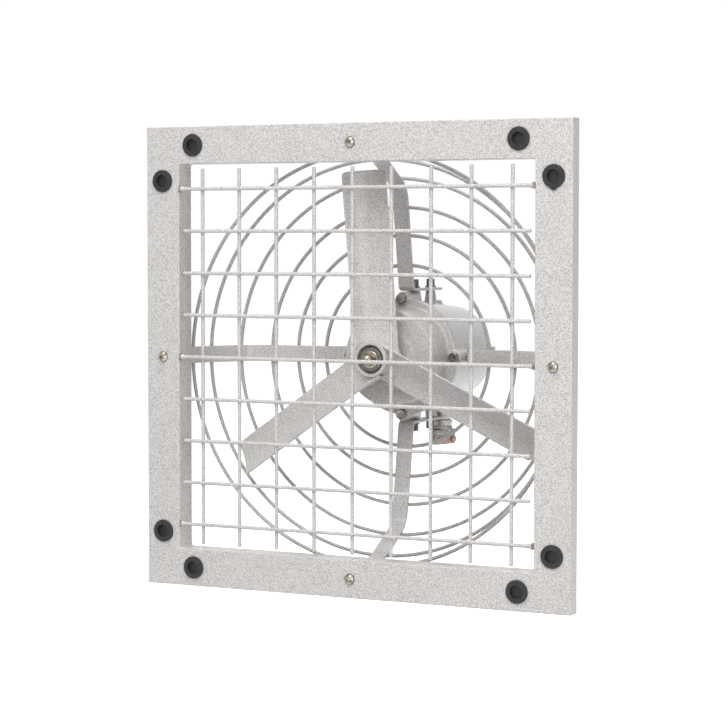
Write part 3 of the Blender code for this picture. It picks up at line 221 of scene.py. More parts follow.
@dataclass(frozen=True)
class HammeredEnamel:
    """Pale grey hammer-finish stoving enamel on pressed and cast steel.

    The paint dries in small domed cells with darker pits between them, which gives the eye a fine
    salt and pepper speckle and breaks up the gloss. The real cells are about 1 mm wide.
    """

    name: str = "hammered_enamel"
    crown: str = "#eae8e6"
    body: str = "#dbd8d7"
    pit: str = "#afadaa"
    stops: tuple[float, float, float] = (0.0, 0.45, 0.80)
    cell: float = 1.05 * MILLIMETRE
    cell_softness: float = 0.6
    cell_span: tuple[float, float] = (0.45, 1.35)
    drift_share: float = 1.6
    grain_share: float = 0.55
    wobble: float = 0.6 * MILLIMETRE
    cloud: float = 24 * MILLIMETRE
    cloud_shade: tuple[float, float] = (0.94, 1.05)
    relief: float = 0.05 * MILLIMETRE
    roughness: float = 0.36
    roughness_drift: tuple[float, float] = (-0.06, 0.10)
    gloss: float = 0.35
    gloss_roughness: float = 0.16

    def build(self) -> Material:
        """Build the material and return it."""
        surface = Surface(self.name)
        drift = surface.noise(self.cell * self.drift_share)
        shift = surface.node(
            "ShaderNodeVectorMath", {0: drift.outputs["Color"], "Scale": self.wobble}, operation="SCALE"
        )
        moved = surface.node("ShaderNodeVectorMath", {0: surface.place, 1: shift.outputs["Vector"]})
        cells = surface.node(
            "ShaderNodeTexVoronoi",
            {"Vector": moved.outputs["Vector"], "Scale": 1 / self.cell, "Smoothness": self.cell_softness},
            feature="SMOOTH_F1",
        )
        grain = surface.noise(self.cell * self.grain_share, 1.0)
        mixed = surface.node(
            "ShaderNodeMath", {0: cells.outputs["Distance"], 1: grain.outputs["Fac"]}, operation="ADD"
        )
        low, high = self.cell_span
        share = surface.node(
            "ShaderNodeMapRange", {"Value": mixed.outputs["Value"], "From Min": low, "From Max": high}
        )
        colours = (self.crown, self.body, self.pit)
        speckle = surface.ramp(share.outputs["Result"], tuple(zip(self.stops, colours)))
        cloud = surface.noise(self.cloud)
        shade = surface.span(cloud.outputs["Fac"], *self.cloud_shade)
        tinted = surface.node("ShaderNodeVectorMath", {0: speckle, "Scale": shade}, operation="SCALE")
        height = surface.span(share.outputs["Result"], 1.0, 0.0)
        return surface.finish(
            base_color=tinted.outputs["Vector"],
            roughness=surface.span(
                grain.outputs["Fac"], *(self.roughness + drift for drift in self.roughness_drift)
            ),
            metallic=0.0,
            normal=surface.bump(height, self.relief),
            coat_weight=self.gloss,
            coat_roughness=self.gloss_roughness,
        )


@dataclass(frozen=True)
class Rubber:
    """Moulded nitrile rubber: a matt, slightly dusty black with a very fine skin."""

    name: str = "moulded_rubber"
    dark: str = "#1f1e1f"
    light: str = "#2e2d2e"
    stops: tuple[float, float] = (0.35, 0.75)
    grain: float = 0.5 * MILLIMETRE
    dust: float = 5 * MILLIMETRE
    relief: float = 0.02 * MILLIMETRE
    roughness: tuple[float, float] = (0.42, 0.62)
    specular: float = 0.35

    def build(self) -> Material:
        """Build the material and return it."""
        surface = Surface(self.name)
        dust = surface.noise(self.dust, 4.0)
        grain = surface.noise(self.grain)
        return surface.finish(
            base_color=surface.ramp(dust.outputs["Fac"], tuple(zip(self.stops, (self.dark, self.light)))),
            roughness=surface.span(dust.outputs["Fac"], *self.roughness),
            normal=surface.bump(grain.outputs["Fac"], self.relief),
            specular_ior_level=self.specular,
        )


@dataclass(frozen=True)
class Metal:
    """A bare or plated metal: its tint wanders a little and its gloss shows handling marks."""

    name: str
    light: str
    dark: str
    roughness: float = 0.25
    patch: float = 4 * MILLIMETRE
    scratch: float = 0.35 * MILLIMETRE
    relief: float = 0.006 * MILLIMETRE
    metallic: float = 1.0
    stops: tuple[float, float] = (0.35, 0.65)
    roughness_shares: tuple[float, float] = (0.75, 1.35)
    scratch_stretch: tuple[float, float, float] = (1.0, 6.0, 1.0)

    def build(self) -> Material:
        """Build the material and return it."""
        surface = Surface(self.name)
        patch = surface.noise(self.patch, 5.0)
        stretch = surface.node("ShaderNodeMapping", {"Vector": surface.place, "Scale": self.scratch_stretch})
        scratch = surface.noise(self.scratch, 2.0, stretch.outputs["Vector"])
        low, high = (self.roughness * share for share in self.roughness_shares)
        return surface.finish(
            base_color=surface.ramp(patch.outputs["Fac"], tuple(zip(self.stops, (self.dark, self.light)))),
            metallic=self.metallic,
            roughness=surface.span(patch.outputs["Fac"], low, high),
            normal=surface.bump(scratch.outputs["Fac"], self.relief),
        )


@dataclass(frozen=True)
class Laminations:
    """Stacked electrical steel: thin varnished sheets, seen as fine lines across the shaft."""

    name: str = "stacked_electrical_steel"
    light: str = "#8f9297"
    dark: str = "#55585c"
    sheet: float = 0.5 * MILLIMETRE

    def build(self) -> Material:
        """Build the material and return it."""
        surface = Surface(self.name)
        lines = surface.node(
            "ShaderNodeTexWave",
            {"Vector": surface.place, "Scale": 1 / (self.sheet * WAVE_SPAN), "Distortion": 0.4},
            bands_direction="Y",
        )
        colour = surface.ramp(lines.outputs["Fac"], ((0.2, self.dark), (0.8, self.light)))
        return surface.finish(base_color=colour, metallic=0.9, roughness=0.5)


@dataclass(frozen=True)
class EnamelledWire:
    """Copper magnet wire under clear varnish, laced into a ring: fine amber strands."""

    name: str = "enamelled_copper_wire"
    light: str = "#b8672f"
    dark: str = "#6d3517"
    strand: float = 0.8 * MILLIMETRE

    def build(self) -> Material:
        """Build the material and return it."""
        surface = Surface(self.name)
        strands = surface.node(
            "ShaderNodeTexWave",
            {
                "Vector": surface.place,
                "Scale": 1 / (self.strand * WAVE_SPAN),
                "Distortion": 6.0,
                "Detail": 3.0,
            },
            wave_type="RINGS",
            rings_direction="Y",
        )
        colour = surface.ramp(strands.outputs["Fac"], ((0.15, self.dark), (0.8, self.light)))
        return surface.finish(base_color=colour, metallic=0.6, roughness=0.35, coat_weight=0.6)


class Paintbox:
    """Every finish on the fan, built once."""

    def __init__(self) -> None:
        """Build the materials."""
        # Stoved hammer paint on sheet and castings: a bright, speckled pale grey with a soft gloss.
        self.paint = HammeredEnamel().build()
        # The same paint, smoother and glossier on the cast motor: an even grey with clear highlights.
        self.motor_paint = HammeredEnamel(
            "smooth_cast_enamel", "#d3d1d0", "#c8c6c4", "#b4b2b0", relief=0.012 * MILLIMETRE, roughness=0.30,
            gloss=0.6, gloss_roughness=0.16,
        ).build()
        # The same paint on the guard rings, a shade darker than on the sheet: painted shade for the shadow
        # that falls on the rings behind the frame.
        self.ring_paint_with_painted_shade = HammeredEnamel("hammered_enamel_on_wire", "#d8d6d4", "#c9c6c5", "#9f9d9b").build()
        # Nitrile rubber: near black, dull with a little dust.
        self.rubber = Rubber().build()
        # Bright zinc plate on the rail screws: small, sharp glints.
        self.zinc = Metal("bright_zinc_plate", "#a19c93", "#6c675f", 0.20).build()
        # Oiled bolt steel: warm grey with darker patches of oil.
        self.oiled_steel = Metal("oiled_bolt_steel", "#98908a", "#66605c", 0.32, 2.5 * MILLIMETRE).build()
        # Black oxide on the stays' screws: a dark brown grey with a metal's shine.
        self.dark_steel = Metal(
            "black_oxide_screw_steel", "#66605e", "#3d3937", 0.28, 2.5 * MILLIMETRE
        ).build()
        # Bare cut steel on the grille's clips: flat mid grey.
        self.clip_steel = Metal("bare_clip_steel", "#9b9997", "#777572", 0.5).build()
        # Machined steel gone dull, in the hub's well and on its washer: a darker ring round the nut.
        self.machined = Metal("dulled_machined_steel", "#86837d", "#6b6863", 0.5, metallic=0.4).build()
        # Olive passivated zinc: a warm, shiny nut in the middle of the pale hub.
        self.dome_nut = Metal("olive_passivated_zinc", "#aaa295", "#7f786c", 0.22).build()
        # Dulled nickel plate on the gland: grey with soft highlights along its ribs.
        self.nickel = Metal("dulled_nickel_on_brass", "#b0aeac", "#8b8987", 0.36).build()
        # Dull zinc casting on the saddle: half matt grey.
        self.grey_zinc = Metal("dull_zinc_casting", "#a9a7a4", "#838180", 0.45, metallic=0.6).build()
        # Copper toned zinc on the clamp and its screws: the one reddish tint in view.
        self.copper = Metal("copper_toned_zinc_casting", "#bba79a", "#8f7d71", 0.36, metallic=0.6).build()
        # Ground bearing steel on the shaft and bearings: cool and mirror bright.
        self.ground_steel = Metal("ground_bearing_steel", "#cfd2d6", "#a3a7ac", 0.18).build()
        # Stacked sheets of the cores: fine lines across the shaft.
        self.laminations = Laminations().build()
        # Varnished copper windings: amber strands.
        self.wire = EnamelledWire().build()


# Mesh work


def mesh_from(name: str, build: Callable[[BMesh], None]) -> Mesh:
    """Make a mesh with a function that fills a bmesh.

    Args:
        name: The mesh's name.
        build: The function that adds the points and faces.

    Returns:
        The mesh, with its doubles merged, its faces outwards and its shading smooth.
    """
    shape = bmesh.new()
    build(shape)
    bmesh.ops.remove_doubles(shape, verts=shape.verts, dist=MERGE_DISTANCE)
    bmesh.ops.recalc_face_normals(shape, faces=shape.faces)
    mesh = bpy.data.meshes.new(name)
    shape.to_mesh(mesh)
    shape.free()
    return smoothed(mesh)


def smoothed(mesh: Mesh) -> Mesh:
    """Shade a mesh smooth between its sharp edges and return it."""
    mesh.shade_smooth()
    mesh.set_sharp_from_angle(angle=SHARP_ANGLE)
    return mesh


def linked(name: str, data: bpy.types.ID) -> Object:
    """Make an object of that name, put it in the scene and return it."""
    thing = bpy.data.objects.new(name, data)
    bpy.context.scene.collection.objects.link(thing)
    return thing


def joined(name: str, meshes: Iterable[Mesh]) -> Mesh:
    """Join meshes into a new one, without merging their points.

    Args:
        name: The new mesh's name.
        meshes: The meshes, which are removed.

    Returns:
        The joined mesh.
    """
    shape = bmesh.new()
    for mesh in meshes:
        shape.from_mesh(mesh)
        bpy.data.meshes.remove(mesh)
    whole = bpy.data.meshes.new(name)
    shape.to_mesh(whole)
    shape.free()
    return smoothed(whole)


def moved(mesh: Mesh, matrix: Matrix) -> Mesh:
    """Move or turn a mesh's points and return it."""
    mesh.transform(matrix)
    return mesh


def with_modifiers(mesh: Mesh, modifiers: Sequence[tuple[str, Mapping]]) -> Mesh:
    """Run modifiers on a mesh.

    Args:
        mesh: The mesh to work on, which is removed.
        modifiers: Each modifier's type with its settings.

    Returns:
        The mesh that the modifiers leave.
    """
    thing = linked(mesh.name, mesh)
    for kind, settings in modifiers:
        modifier = thing.modifiers.new(kind.lower(), kind)
        for name, value in settings.items():
            setattr(modifier, name, value)
    result = evaluated(thing)
    bpy.data.meshes.remove(mesh)
    return result


def evaluated(thing: Object) -> Mesh:
    """Return an object's mesh after its modifiers, and remove the object."""
    bpy.context.view_layer.update()
    graph = bpy.context.evaluated_depsgraph_get()
    mesh = bpy.data.meshes.new_from_object(thing.evaluated_get(graph))
    bpy.data.objects.remove(thing, do_unlink=True)
    return mesh


def eased(width: float, segments: int, angle: float) -> tuple[str, Mapping]:
    """Return the modifier that rounds the edges sharper than an angle, for with_modifiers()."""
    settings = {"width": width, "segments": segments, "limit_method": "ANGLE", "angle_limit": angle}
    return "BEVEL", settings


def arc(centre: Vector, radius: float, start: float, end: float, steps: int) -> list[Vector]:
    """Return points on an arc between two angles, both ends included."""
    angles = (start + (end - start) * step / steps for step in range(steps + 1))
    return [centre + Vector((math.cos(angle), math.sin(angle))) * radius for angle in angles]


def rounded(corners: Sequence[Corner], steps: int = 5) -> list[Vector]:
    """Round the inner corners of an open line.

    Args:
        corners: Each corner's radius, depth and rounding.
        steps: The number of pieces in a round.

    Returns:
        The line's points as (radius, depth).
    """
    points = [Vector(corners[0][:2])]
    for before, corner, after in zip(corners, corners[1:], corners[2:]):
        middle = Vector(corner[:2])
        if corner[2] == 0:
            points.append(middle)
            continue
        back = (Vector(before[:2]) - middle).normalized()
        ahead = (Vector(after[:2]) - middle).normalized()
        half_angle = back.angle(ahead) / 2
        centre = middle + (back + ahead).normalized() * corner[2] / math.sin(half_angle)
        reach = corner[2] / math.tan(half_angle)
        first, last = middle + back * reach, middle + ahead * reach
        for step in range(steps + 1):
            mixed = first.lerp(last, step / steps) - centre
            points.append(centre + mixed.normalized() * corner[2])
    points.append(Vector(corners[-1][:2]))
    return points


def stack(shape: BMesh, rings: Sequence[Sequence[BMVert]]) -> None:
    """Close a stack of rings of points into a solid, with a face at each end."""
    for lower, upper in zip(rings, rings[1:]):
        for i in range(len(lower)):
            j = (i + 1) % len(lower)
            shape.faces.new((lower[i], lower[j], upper[j], upper[i]))
    shape.faces.new(rings[0])
    shape.faces.new(rings[-1])


def turned(name: str, outline: Sequence[Vector], sides: int = FINE_SIDES) -> Mesh:
    """Turn an outline of (radius, depth) about the Y axis.

    Args:
        name: The mesh's name.
        outline: The points; a line that leaves the axis at both ends is closed to a ring.
        sides: The number of faces round the axis.

    Returns:
        The closed mesh.
    """
    closed = outline[0].x > 0 or outline[-1].x > 0
    pairs = list(zip(range(len(outline)), range(1, len(outline))))
    if closed:
        pairs.append((len(outline) - 1, 0))

    def build(shape: BMesh) -> None:
        """Add the outline at every angle and join the neighbours."""
        columns = []
        for side in range(sides):
            angle = FULL_TURN * side / sides
            across, up = math.sin(angle), math.cos(angle)
            columns.append([shape.verts.new((p.x * across, p.y, p.x * up)) for p in outline])
        for column, following in zip(columns, columns[1:] + columns[:1]):
            for i, j in pairs:
                shape.faces.new((column[i], column[j], following[j], following[i]))

    return mesh_from(name, build)


def shaped(name: str, levels: Sequence[Level], sides: int = SMALL_SIDES) -> Mesh:
    """Build a closed solid from rings about the Y axis.

    Args:
        name: The mesh's name.
        levels: Each ring's depth along Y with its radius, or with its radius as a function of the angle.
        sides: The number of points in a ring.

    Returns:
        The closed mesh.
    """
    angles = [FULL_TURN * side / sides for side in range(sides)]

    def build(shape: BMesh) -> None:
        """Add the rings and close them."""
        rings = []
        for depth, radius in levels:
            ring = []
            for angle in angles:
                reach = radius(angle) if callable(radius) else radius
                ring.append(shape.verts.new((reach * math.sin(angle), depth, reach * math.cos(angle))))
            rings.append(ring)
        stack(shape, rings)

    return mesh_from(name, build)


def hexagon(radius: float) -> RadiusAt:
    """Return the radius of a hexagon at an angle, its corners at the given radius."""
    sixth = FULL_TURN / 6

    def radius_at(angle: float) -> float:
        """Return the radius in the sixth that the angle falls in."""
        return radius * math.cos(sixth / 2) / math.cos(angle % sixth - sixth / 2)

    return radius_at


def within(shape: RadiusAt, limit: float) -> RadiusAt:
    """Return a shape's radius at an angle, cut off at a limit, as a cone cuts a hexagon's corners."""
    return lambda angle: min(shape(angle), limit)


def hexagon_levels(radius: float, back: float, front: float, chamfer: float) -> list[Level]:
    """Return the rings of a hexagon with cone-cut corners.

    Args:
        radius: The radius over the corners.
        back: The depth of its rear face.
        front: The depth of its front face.
        chamfer: How deep the cone cuts.

    Returns:
        The rings for shaped().
    """
    outline = hexagon(radius)
    steps = 4
    toward = math.copysign(1, front - back)
    levels = [(back, outline)]
    for step in range(steps, -1, -1):
        limit = radius - chamfer * CONE_SLOPE * (1 - step / steps)
        levels.append((front - toward * chamfer * step / steps, within(outline, limit)))
    return levels


def dome_levels(back: float, height: float, radius: float, hole: float = 0.0) -> list[Level]:
    """Return the rings of a dome.

    Args:
        back: The depth of its foot.
        height: How far it rises to the front.
        radius: The radius of its foot.
        hole: The radius at which it stops.

    Returns:
        The rings for shaped().
    """
    angles = [QUARTER_TURN * step / DOME_STEPS for step in range(DOME_STEPS)]
    rings = [(back - height * math.sin(angle), radius * math.cos(angle)) for angle in angles]
    return [(depth, reach) for depth, reach in rings if reach > hole]


def side_turn(index: int) -> Matrix:
    """Turn what is built at the top to the top, right, bottom or left."""
    return Matrix.Rotation(index * QUARTER_TURN, 4, "Y")


def outwards(depth: float) -> Matrix:
    """Return the matrix that stands what is built along -Y upright at a depth."""
    return Matrix.Translation((0, depth + FRONT_Y, 0)) @ Matrix.Rotation(-QUARTER_TURN, 4, "X")


# Geometry Nodes recipes


class Recipe:
    """A Geometry Nodes tree with named inputs, whose result is kept as a plain mesh."""

    def __init__(self, name: str) -> None:
        """Start a tree of that name."""
        self.tree = bpy.data.node_groups.new(name, "GeometryNodeTree")
        self.tree.interface.new_socket("Geometry", in_out="INPUT", socket_type="NodeSocketGeometry")
        self.tree.interface.new_socket("Geometry", in_out="OUTPUT", socket_type="NodeSocketGeometry")
        self.entry = self.tree.nodes.new("NodeGroupInput")
        self.identifiers: dict[str, str] = {}

    def input(self, name: str, kind: str = "Float") -> NodeSocket:
        """Add a named input and return the socket that gives its value."""
        item = self.tree.interface.new_socket(name, in_out="INPUT", socket_type=f"NodeSocket{kind}")
        self.identifiers[name] = item.identifier
        return self.entry.outputs[name]

    def node(self, kind: str, links: Mapping | None = None, **settings: object) -> Node:
        """Add a node to the tree."""
        return add_node(self.tree, kind, links, **settings)

    def vector(self, x: object = 0.0, y: object = 0.0, z: object = 0.0) -> NodeSocket:
        """Combine three values into a vector's output."""
        return self.node("ShaderNodeCombineXYZ", {"X": x, "Y": y, "Z": z}).outputs["Vector"]

    def close(self, geometry: NodeSocket) -> "Recipe":
        """End the tree in real, smooth geometry with its material, and return the recipe."""
        real = self.node("GeometryNodeRealizeInstances", {"Geometry": geometry})
        smooth = self.node("GeometryNodeSetShadeSmooth", {"Geometry": real.outputs["Geometry"]})
        material = self.input("Material", "Material")
        painted = self.node(
            "GeometryNodeSetMaterial", {"Geometry": smooth.outputs["Geometry"], "Material": material}
        )
        self.node("NodeGroupOutput", {"Geometry": painted.outputs["Geometry"]})
        return self

    def bake(self, name: str, base: Mesh | None = None, **values: object) -> Mesh:
        """Run the recipe.

        Args:
            name: The resulting mesh's name.
            base: The mesh that the recipe starts from, which is removed, or None.
            values: The inputs, named with underscores for spaces.

        Returns:
            The plain mesh.
        """
        start = base or bpy.data.meshes.new(name)
        thing = linked(name, start)
        modifier = thing.modifiers.new(self.tree.name, "NODES")
        modifier.node_group = self.tree
        for key, value in values.items():
            modifier[self.identifiers[key.replace("_", " ").title()]] = value
        mesh = evaluated(thing)
        bpy.data.meshes.remove(start)
        return smoothed(mesh)


def copies_round_an_axis() -> Recipe:
    """Return the recipe that repeats a mesh about an axis through the origin."""
    recipe = Recipe("copies_round_an_axis")
    points = recipe.node("GeometryNodePoints", {"Count": recipe.input("Count", "Int")})
    index = recipe.node("GeometryNodeInputIndex").outputs["Index"]
    turn = recipe.node(
        "ShaderNodeVectorMath", {0: recipe.input("Turn", "Vector"), "Scale": index}, operation="SCALE"
    )
    rotation = recipe.node("FunctionNodeEulerToRotation", {"Euler": turn.outputs["Vector"]})
    copies = recipe.node(
        "GeometryNodeInstanceOnPoints",
        {
            "Points": points.outputs[0],
            "Instance": recipe.entry.outputs["Geometry"],
            "Rotation": rotation.outputs["Rotation"],
        },
    )
    return recipe.close(copies.outputs["Instances"])


def pieces_in_places() -> Recipe:
    """Return the recipe that sets a piece on every point of a mesh, its size varied by a seed."""
    recipe = Recipe("pieces_in_places")
    piece = recipe.node("GeometryNodeObjectInfo", {"Object": recipe.input("Piece", "Object")})
    low, high = recipe.input("Smallest"), recipe.input("Largest")
    size = recipe.node("FunctionNodeRandomValue", data_type="FLOAT")
    recipe.tree.links.new(low, size.inputs[2])
    recipe.tree.links.new(high, size.inputs[3])
    recipe.tree.links.new(recipe.input("Seed", "Int"), size.inputs["Seed"])
    copies = recipe.node(
        "GeometryNodeInstanceOnPoints",
        {
            "Points": recipe.entry.outputs["Geometry"],
            "Instance": piece.outputs["Geometry"],
            "Scale": size.outputs[1],
        },
    )
    return recipe.close(copies.outputs["Instances"])


def straight_wires() -> Recipe:
    """Return the recipe for a row of upright wires with rounded ends, side by side along X."""
    recipe = Recipe("straight_wires")
    half, radius = recipe.input("Half Length"), recipe.input("Wire Radius")
    low = recipe.node("ShaderNodeMath", {0: half, 1: -1.0}, operation="MULTIPLY")
    start, end = recipe.vector(z=low.outputs["Value"]), recipe.vector(z=half)
    line = recipe.node("GeometryNodeCurvePrimitiveLine", {"Start": start, "End": end})
    section = recipe.node("GeometryNodeCurvePrimitiveCircle", {"Resolution": WIRE_SIDES, "Radius": radius})
    wire = recipe.node(
        "GeometryNodeCurveToMesh",
        {"Curve": line.outputs["Curve"], "Profile Curve": section.outputs["Curve"], "Fill Caps": True},
    )
    ends = recipe.node(
        "GeometryNodeMeshLine", {"Count": 2, "Start Location": start, "Offset": end}, mode="END_POINTS"
    )
    ball = recipe.node("GeometryNodeMeshUVSphere", {"Segments": WIRE_SIDES, "Rings": 8, "Radius": radius})
    domes = recipe.node(
        "GeometryNodeInstanceOnPoints",
        {
            "Points": ends.outputs["Mesh"],
            "Instance": ball.outputs["Mesh"],
            "Scale": (1.0, 1.0, WIRE_END_SHARE),
        },
    )
    whole = recipe.node("GeometryNodeJoinGeometry")
    recipe.tree.links.new(wire.outputs["Mesh"], whole.inputs["Geometry"])
    recipe.tree.links.new(domes.outputs["Instances"], whole.inputs["Geometry"])
    row = recipe.node(
        "GeometryNodeMeshLine",
        {
            "Count": recipe.input("Count", "Int"),
            "Start Location": recipe.vector(x=recipe.input("First")),
            "Offset": recipe.vector(x=recipe.input("Pitch")),
        },
        mode="OFFSET",
    )
    copies = recipe.node(
        "GeometryNodeInstanceOnPoints",
        {"Points": row.outputs["Mesh"], "Instance": whole.outputs["Geometry"]},
    )
    return recipe.close(copies.outputs["Instances"])


def wire_ring() -> Recipe:
    """Return the recipe for a closed ring of round wire about the Y axis."""
    recipe = Recipe("wire_ring")
    circle_line = recipe.node(
        "GeometryNodeCurvePrimitiveCircle", {"Resolution": 160, "Radius": recipe.input("Ring Radius")}
    )
    section = recipe.node(
        "GeometryNodeCurvePrimitiveCircle", {"Resolution": WIRE_SIDES, "Radius": recipe.input("Wire Radius")}
    )
    wire = recipe.node(
        "GeometryNodeCurveToMesh",
        {"Curve": circle_line.outputs["Curve"], "Profile Curve": section.outputs["Curve"]},
    )
    placed = recipe.node(
        "GeometryNodeTransform",
        {
            "Geometry": wire.outputs["Mesh"],
            "Translation": recipe.vector(y=recipe.input("Place")),
            "Rotation": Euler((QUARTER_TURN, 0, 0)),
        },
    )
    return recipe.close(placed.outputs["Geometry"])


def bent_bar() -> Recipe:
    """Return the recipe that sweeps a flat bar with eased edges along the mesh's line."""
    recipe = Recipe("bent_bar")
    line = recipe.node("GeometryNodeMeshToCurve", {"Mesh": recipe.entry.outputs["Geometry"]})
    flat = recipe.node(
        "GeometryNodeCurvePrimitiveQuadrilateral",
        {"Width": recipe.input("Width"), "Height": recipe.input("Thickness")},
    )
    eased = recipe.node(
        "GeometryNodeFilletCurve",
        {"Curve": flat.outputs["Curve"], "Radius": recipe.input("Edge Round"), "Count": 4},
        mode="POLY",
    )
    bar = recipe.node(
        "GeometryNodeCurveToMesh",
        {"Curve": line.outputs["Curve"], "Profile Curve": eased.outputs["Curve"], "Fill Caps": True},
    )
    return recipe.close(bar.outputs["Mesh"])


class Workshop:
    """What every sub-assembly shares: the paints, the recipes and the way a piece is handed over."""

    def __init__(self, paints: Paintbox) -> None:
        """Keep the paints and build the recipes."""
        self.paints = paints
        self.round = copies_round_an_axis()
        self.places = pieces_in_places()
        self.wires = straight_wires()
        self.ring = wire_ring()
        self.bar = bent_bar()

    def hand_over(
        self,
        name: str,
        mesh: Mesh,
        nodes: Sequence[str],
        material: Material | None = None,
        body: str = "fan_frame",
    ) -> Object:
        """Turn a finished mesh into a piece that rides on a body and stands for CAD nodes.

        Args:
            name: The piece's name.
            mesh: Its mesh, in place.
            nodes: The CAD nodes that it stands for.
            material: Its material, or None where the mesh has its own already.
            body: The body that it moves with.

        Returns:
            The piece.
        """
        if material:
            mesh.materials.clear()
            mesh.materials.append(material)
        thing = linked(name, mesh)
        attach(thing, body)
        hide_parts(*nodes)
        mesh.calc_loop_triangles()
        LOG.info("%s: %d triangles on %s", name, len(mesh.loop_triangles), body)
        return thing

    def on_four_sides(self, name: str, mesh: Mesh, material: Material) -> Mesh:
        """Repeat a mesh that is built at the top on all four sides."""
        return self.round.bake(name, mesh, count=4, turn=(0, QUARTER_TURN, 0), material=material)

    def in_places(
        self, name: str, mesh: Mesh, places: Sequence[Vector], material: Material,
        smallest: float = 1.0, seed: int = 1,
    ) -> Mesh:
        """Repeat a mesh in given places.

        Args:
            name: The resulting mesh's name.
            mesh: The mesh to repeat, built at the origin.
            places: Where its origin goes.
            material: Its material.
            smallest: The smallest copy as a share of the mesh.
            seed: The seed of the copies' sizes.

        Returns:
            The mesh with all copies.
        """
        spots = bpy.data.meshes.new(f"{name}_places")
        spots.from_pydata([tuple(place) for place in places], [], [])
        piece = linked(f"{name}_piece", mesh)
        result = self.places.bake(
            name, spots, piece=piece, smallest=smallest, largest=1.0, seed=seed, material=material
        )
        bpy.data.objects.remove(piece, do_unlink=True)
        bpy.data.meshes.remove(mesh)
        return result


# The fan


@dataclass(frozen=True)
class WallFrame:
    """Pressed sheet frame: four rails, a shallow outer lip and a deeper inner lip."""

    side: float = 0.490
    rail: float = 0.040
    sheet: float = 0.002
    outer_lip: float = 0.016
    inner_lip: float = 0.025
    outer_corner: float = 0.0014
    inner_corner: float = 0.003
    fold: float = 0.0012
    plug_distance: float = 0.0575
    plug_hole: float = 0.0098
    screw_hole: float = 0.0033
    corner_steps: int = 8
    fold_steps: int = 5

    @property
    def opening(self) -> float:
        """Half the width of the opening."""
        return self.side / 2 - self.rail

    @property
    def rail_centre(self) -> float:
        """The distance from the axis to the middle of a rail."""
        return (self.side - self.rail) / 2

    def square(self, half: float, radius: float, depth: float) -> list[tuple[float, float, float]]:
        """Return the points of a square with rounded corners at a depth."""
        points = []
        for corner in range(4):
            start = corner * QUARTER_TURN
            middle = start + QUARTER_TURN / 2
            reach = half - radius
            centre = Vector(
                (math.copysign(reach, math.cos(middle)), math.copysign(reach, math.sin(middle)))
            )
            points += arc(centre, radius, start, start + QUARTER_TURN, self.corner_steps)
        return [(point.x, depth + FRONT_Y, point.y) for point in points]

    def plug_places(self) -> list[Vector]:
        """Return the places of the fixing holes, two at each corner of the front face."""
        near, far = self.side / 2 - self.plug_distance, self.rail_centre
        signs = [(x, z) for x in (-1, 1) for z in (-1, 1)]
        level = [Vector((x * near, FRONT_Y, z * far)) for x, z in signs]
        upright = [Vector((x * far, FRONT_Y, z * near)) for x, z in signs]
        return level + upright

    def holes(self) -> Mesh:
        """Return the rods that cut the fixing holes and the screws' holes."""
        ends = (-self.sheet, 2 * self.sheet)
        rods = []
        for place in self.plug_places():
            rod = shaped("rod", [(depth, self.plug_hole) for depth in ends])
            rods.append(moved(rod, Matrix.Translation(place)))
        for index in range(4):
            rod = shaped("rod", [(depth, self.screw_hole) for depth in ends])
            moved(rod, side_turn(index) @ Matrix.Translation((0, FRONT_Y, self.rail_centre)))
            rods.append(rod)
        return joined("drill", rods)

    def build(self, shop: Workshop) -> None:
        """Fold the sheet, give it its thickness, drill it and hand it over."""
        sections = (
            self.square(self.opening, self.inner_corner, self.inner_lip),
            self.square(self.opening, self.inner_corner, 0),
            self.square(self.side / 2, self.outer_corner, 0),
            self.square(self.side / 2, self.outer_corner, self.outer_lip),
        )

        def build(shape: BMesh) -> None:
            """Join the sections and round the folds between them."""
            loops = [[shape.verts.new(point) for point in section] for section in sections]
            for inner, outer in zip(loops, loops[1:]):
                for i in range(len(inner)):
                    j = (i + 1) % len(inner)
                    shape.faces.new((inner[i], outer[i], outer[j], inner[j]))
            folds = []
            for loop in loops[1:3]:
                folds += [shape.edges.get(pair) for pair in zip(loop, loop[1:] + loop[:1])]
            bmesh.ops.bevel(
                shape, geom=folds, offset=self.fold, segments=self.fold_steps, profile=0.5, affect="EDGES"
            )

        mesh = mesh_from("pressed_frame", build)
        front = max(mesh.polygons, key=lambda face: face.area)
        if front.normal.y > 0:
            mesh.flip_normals()
        drill = linked("drill", self.holes())
        mesh = with_modifiers(
            mesh,
            (
                ("SOLIDIFY", {"thickness": self.sheet, "offset": -1, "use_even_offset": True}),
                ("BOOLEAN", {"object": drill, "operation": "DIFFERENCE", "solver": "EXACT"}),
                eased(EASED_EDGE, 2, SHARP_ANGLE),
                ("WEIGHTED_NORMAL", {"keep_sharp": True}),
            ),
        )
        bpy.data.objects.remove(drill, do_unlink=True)
        shop.hand_over("pressed_frame", mesh, ("frame",), shop.paints.paint)


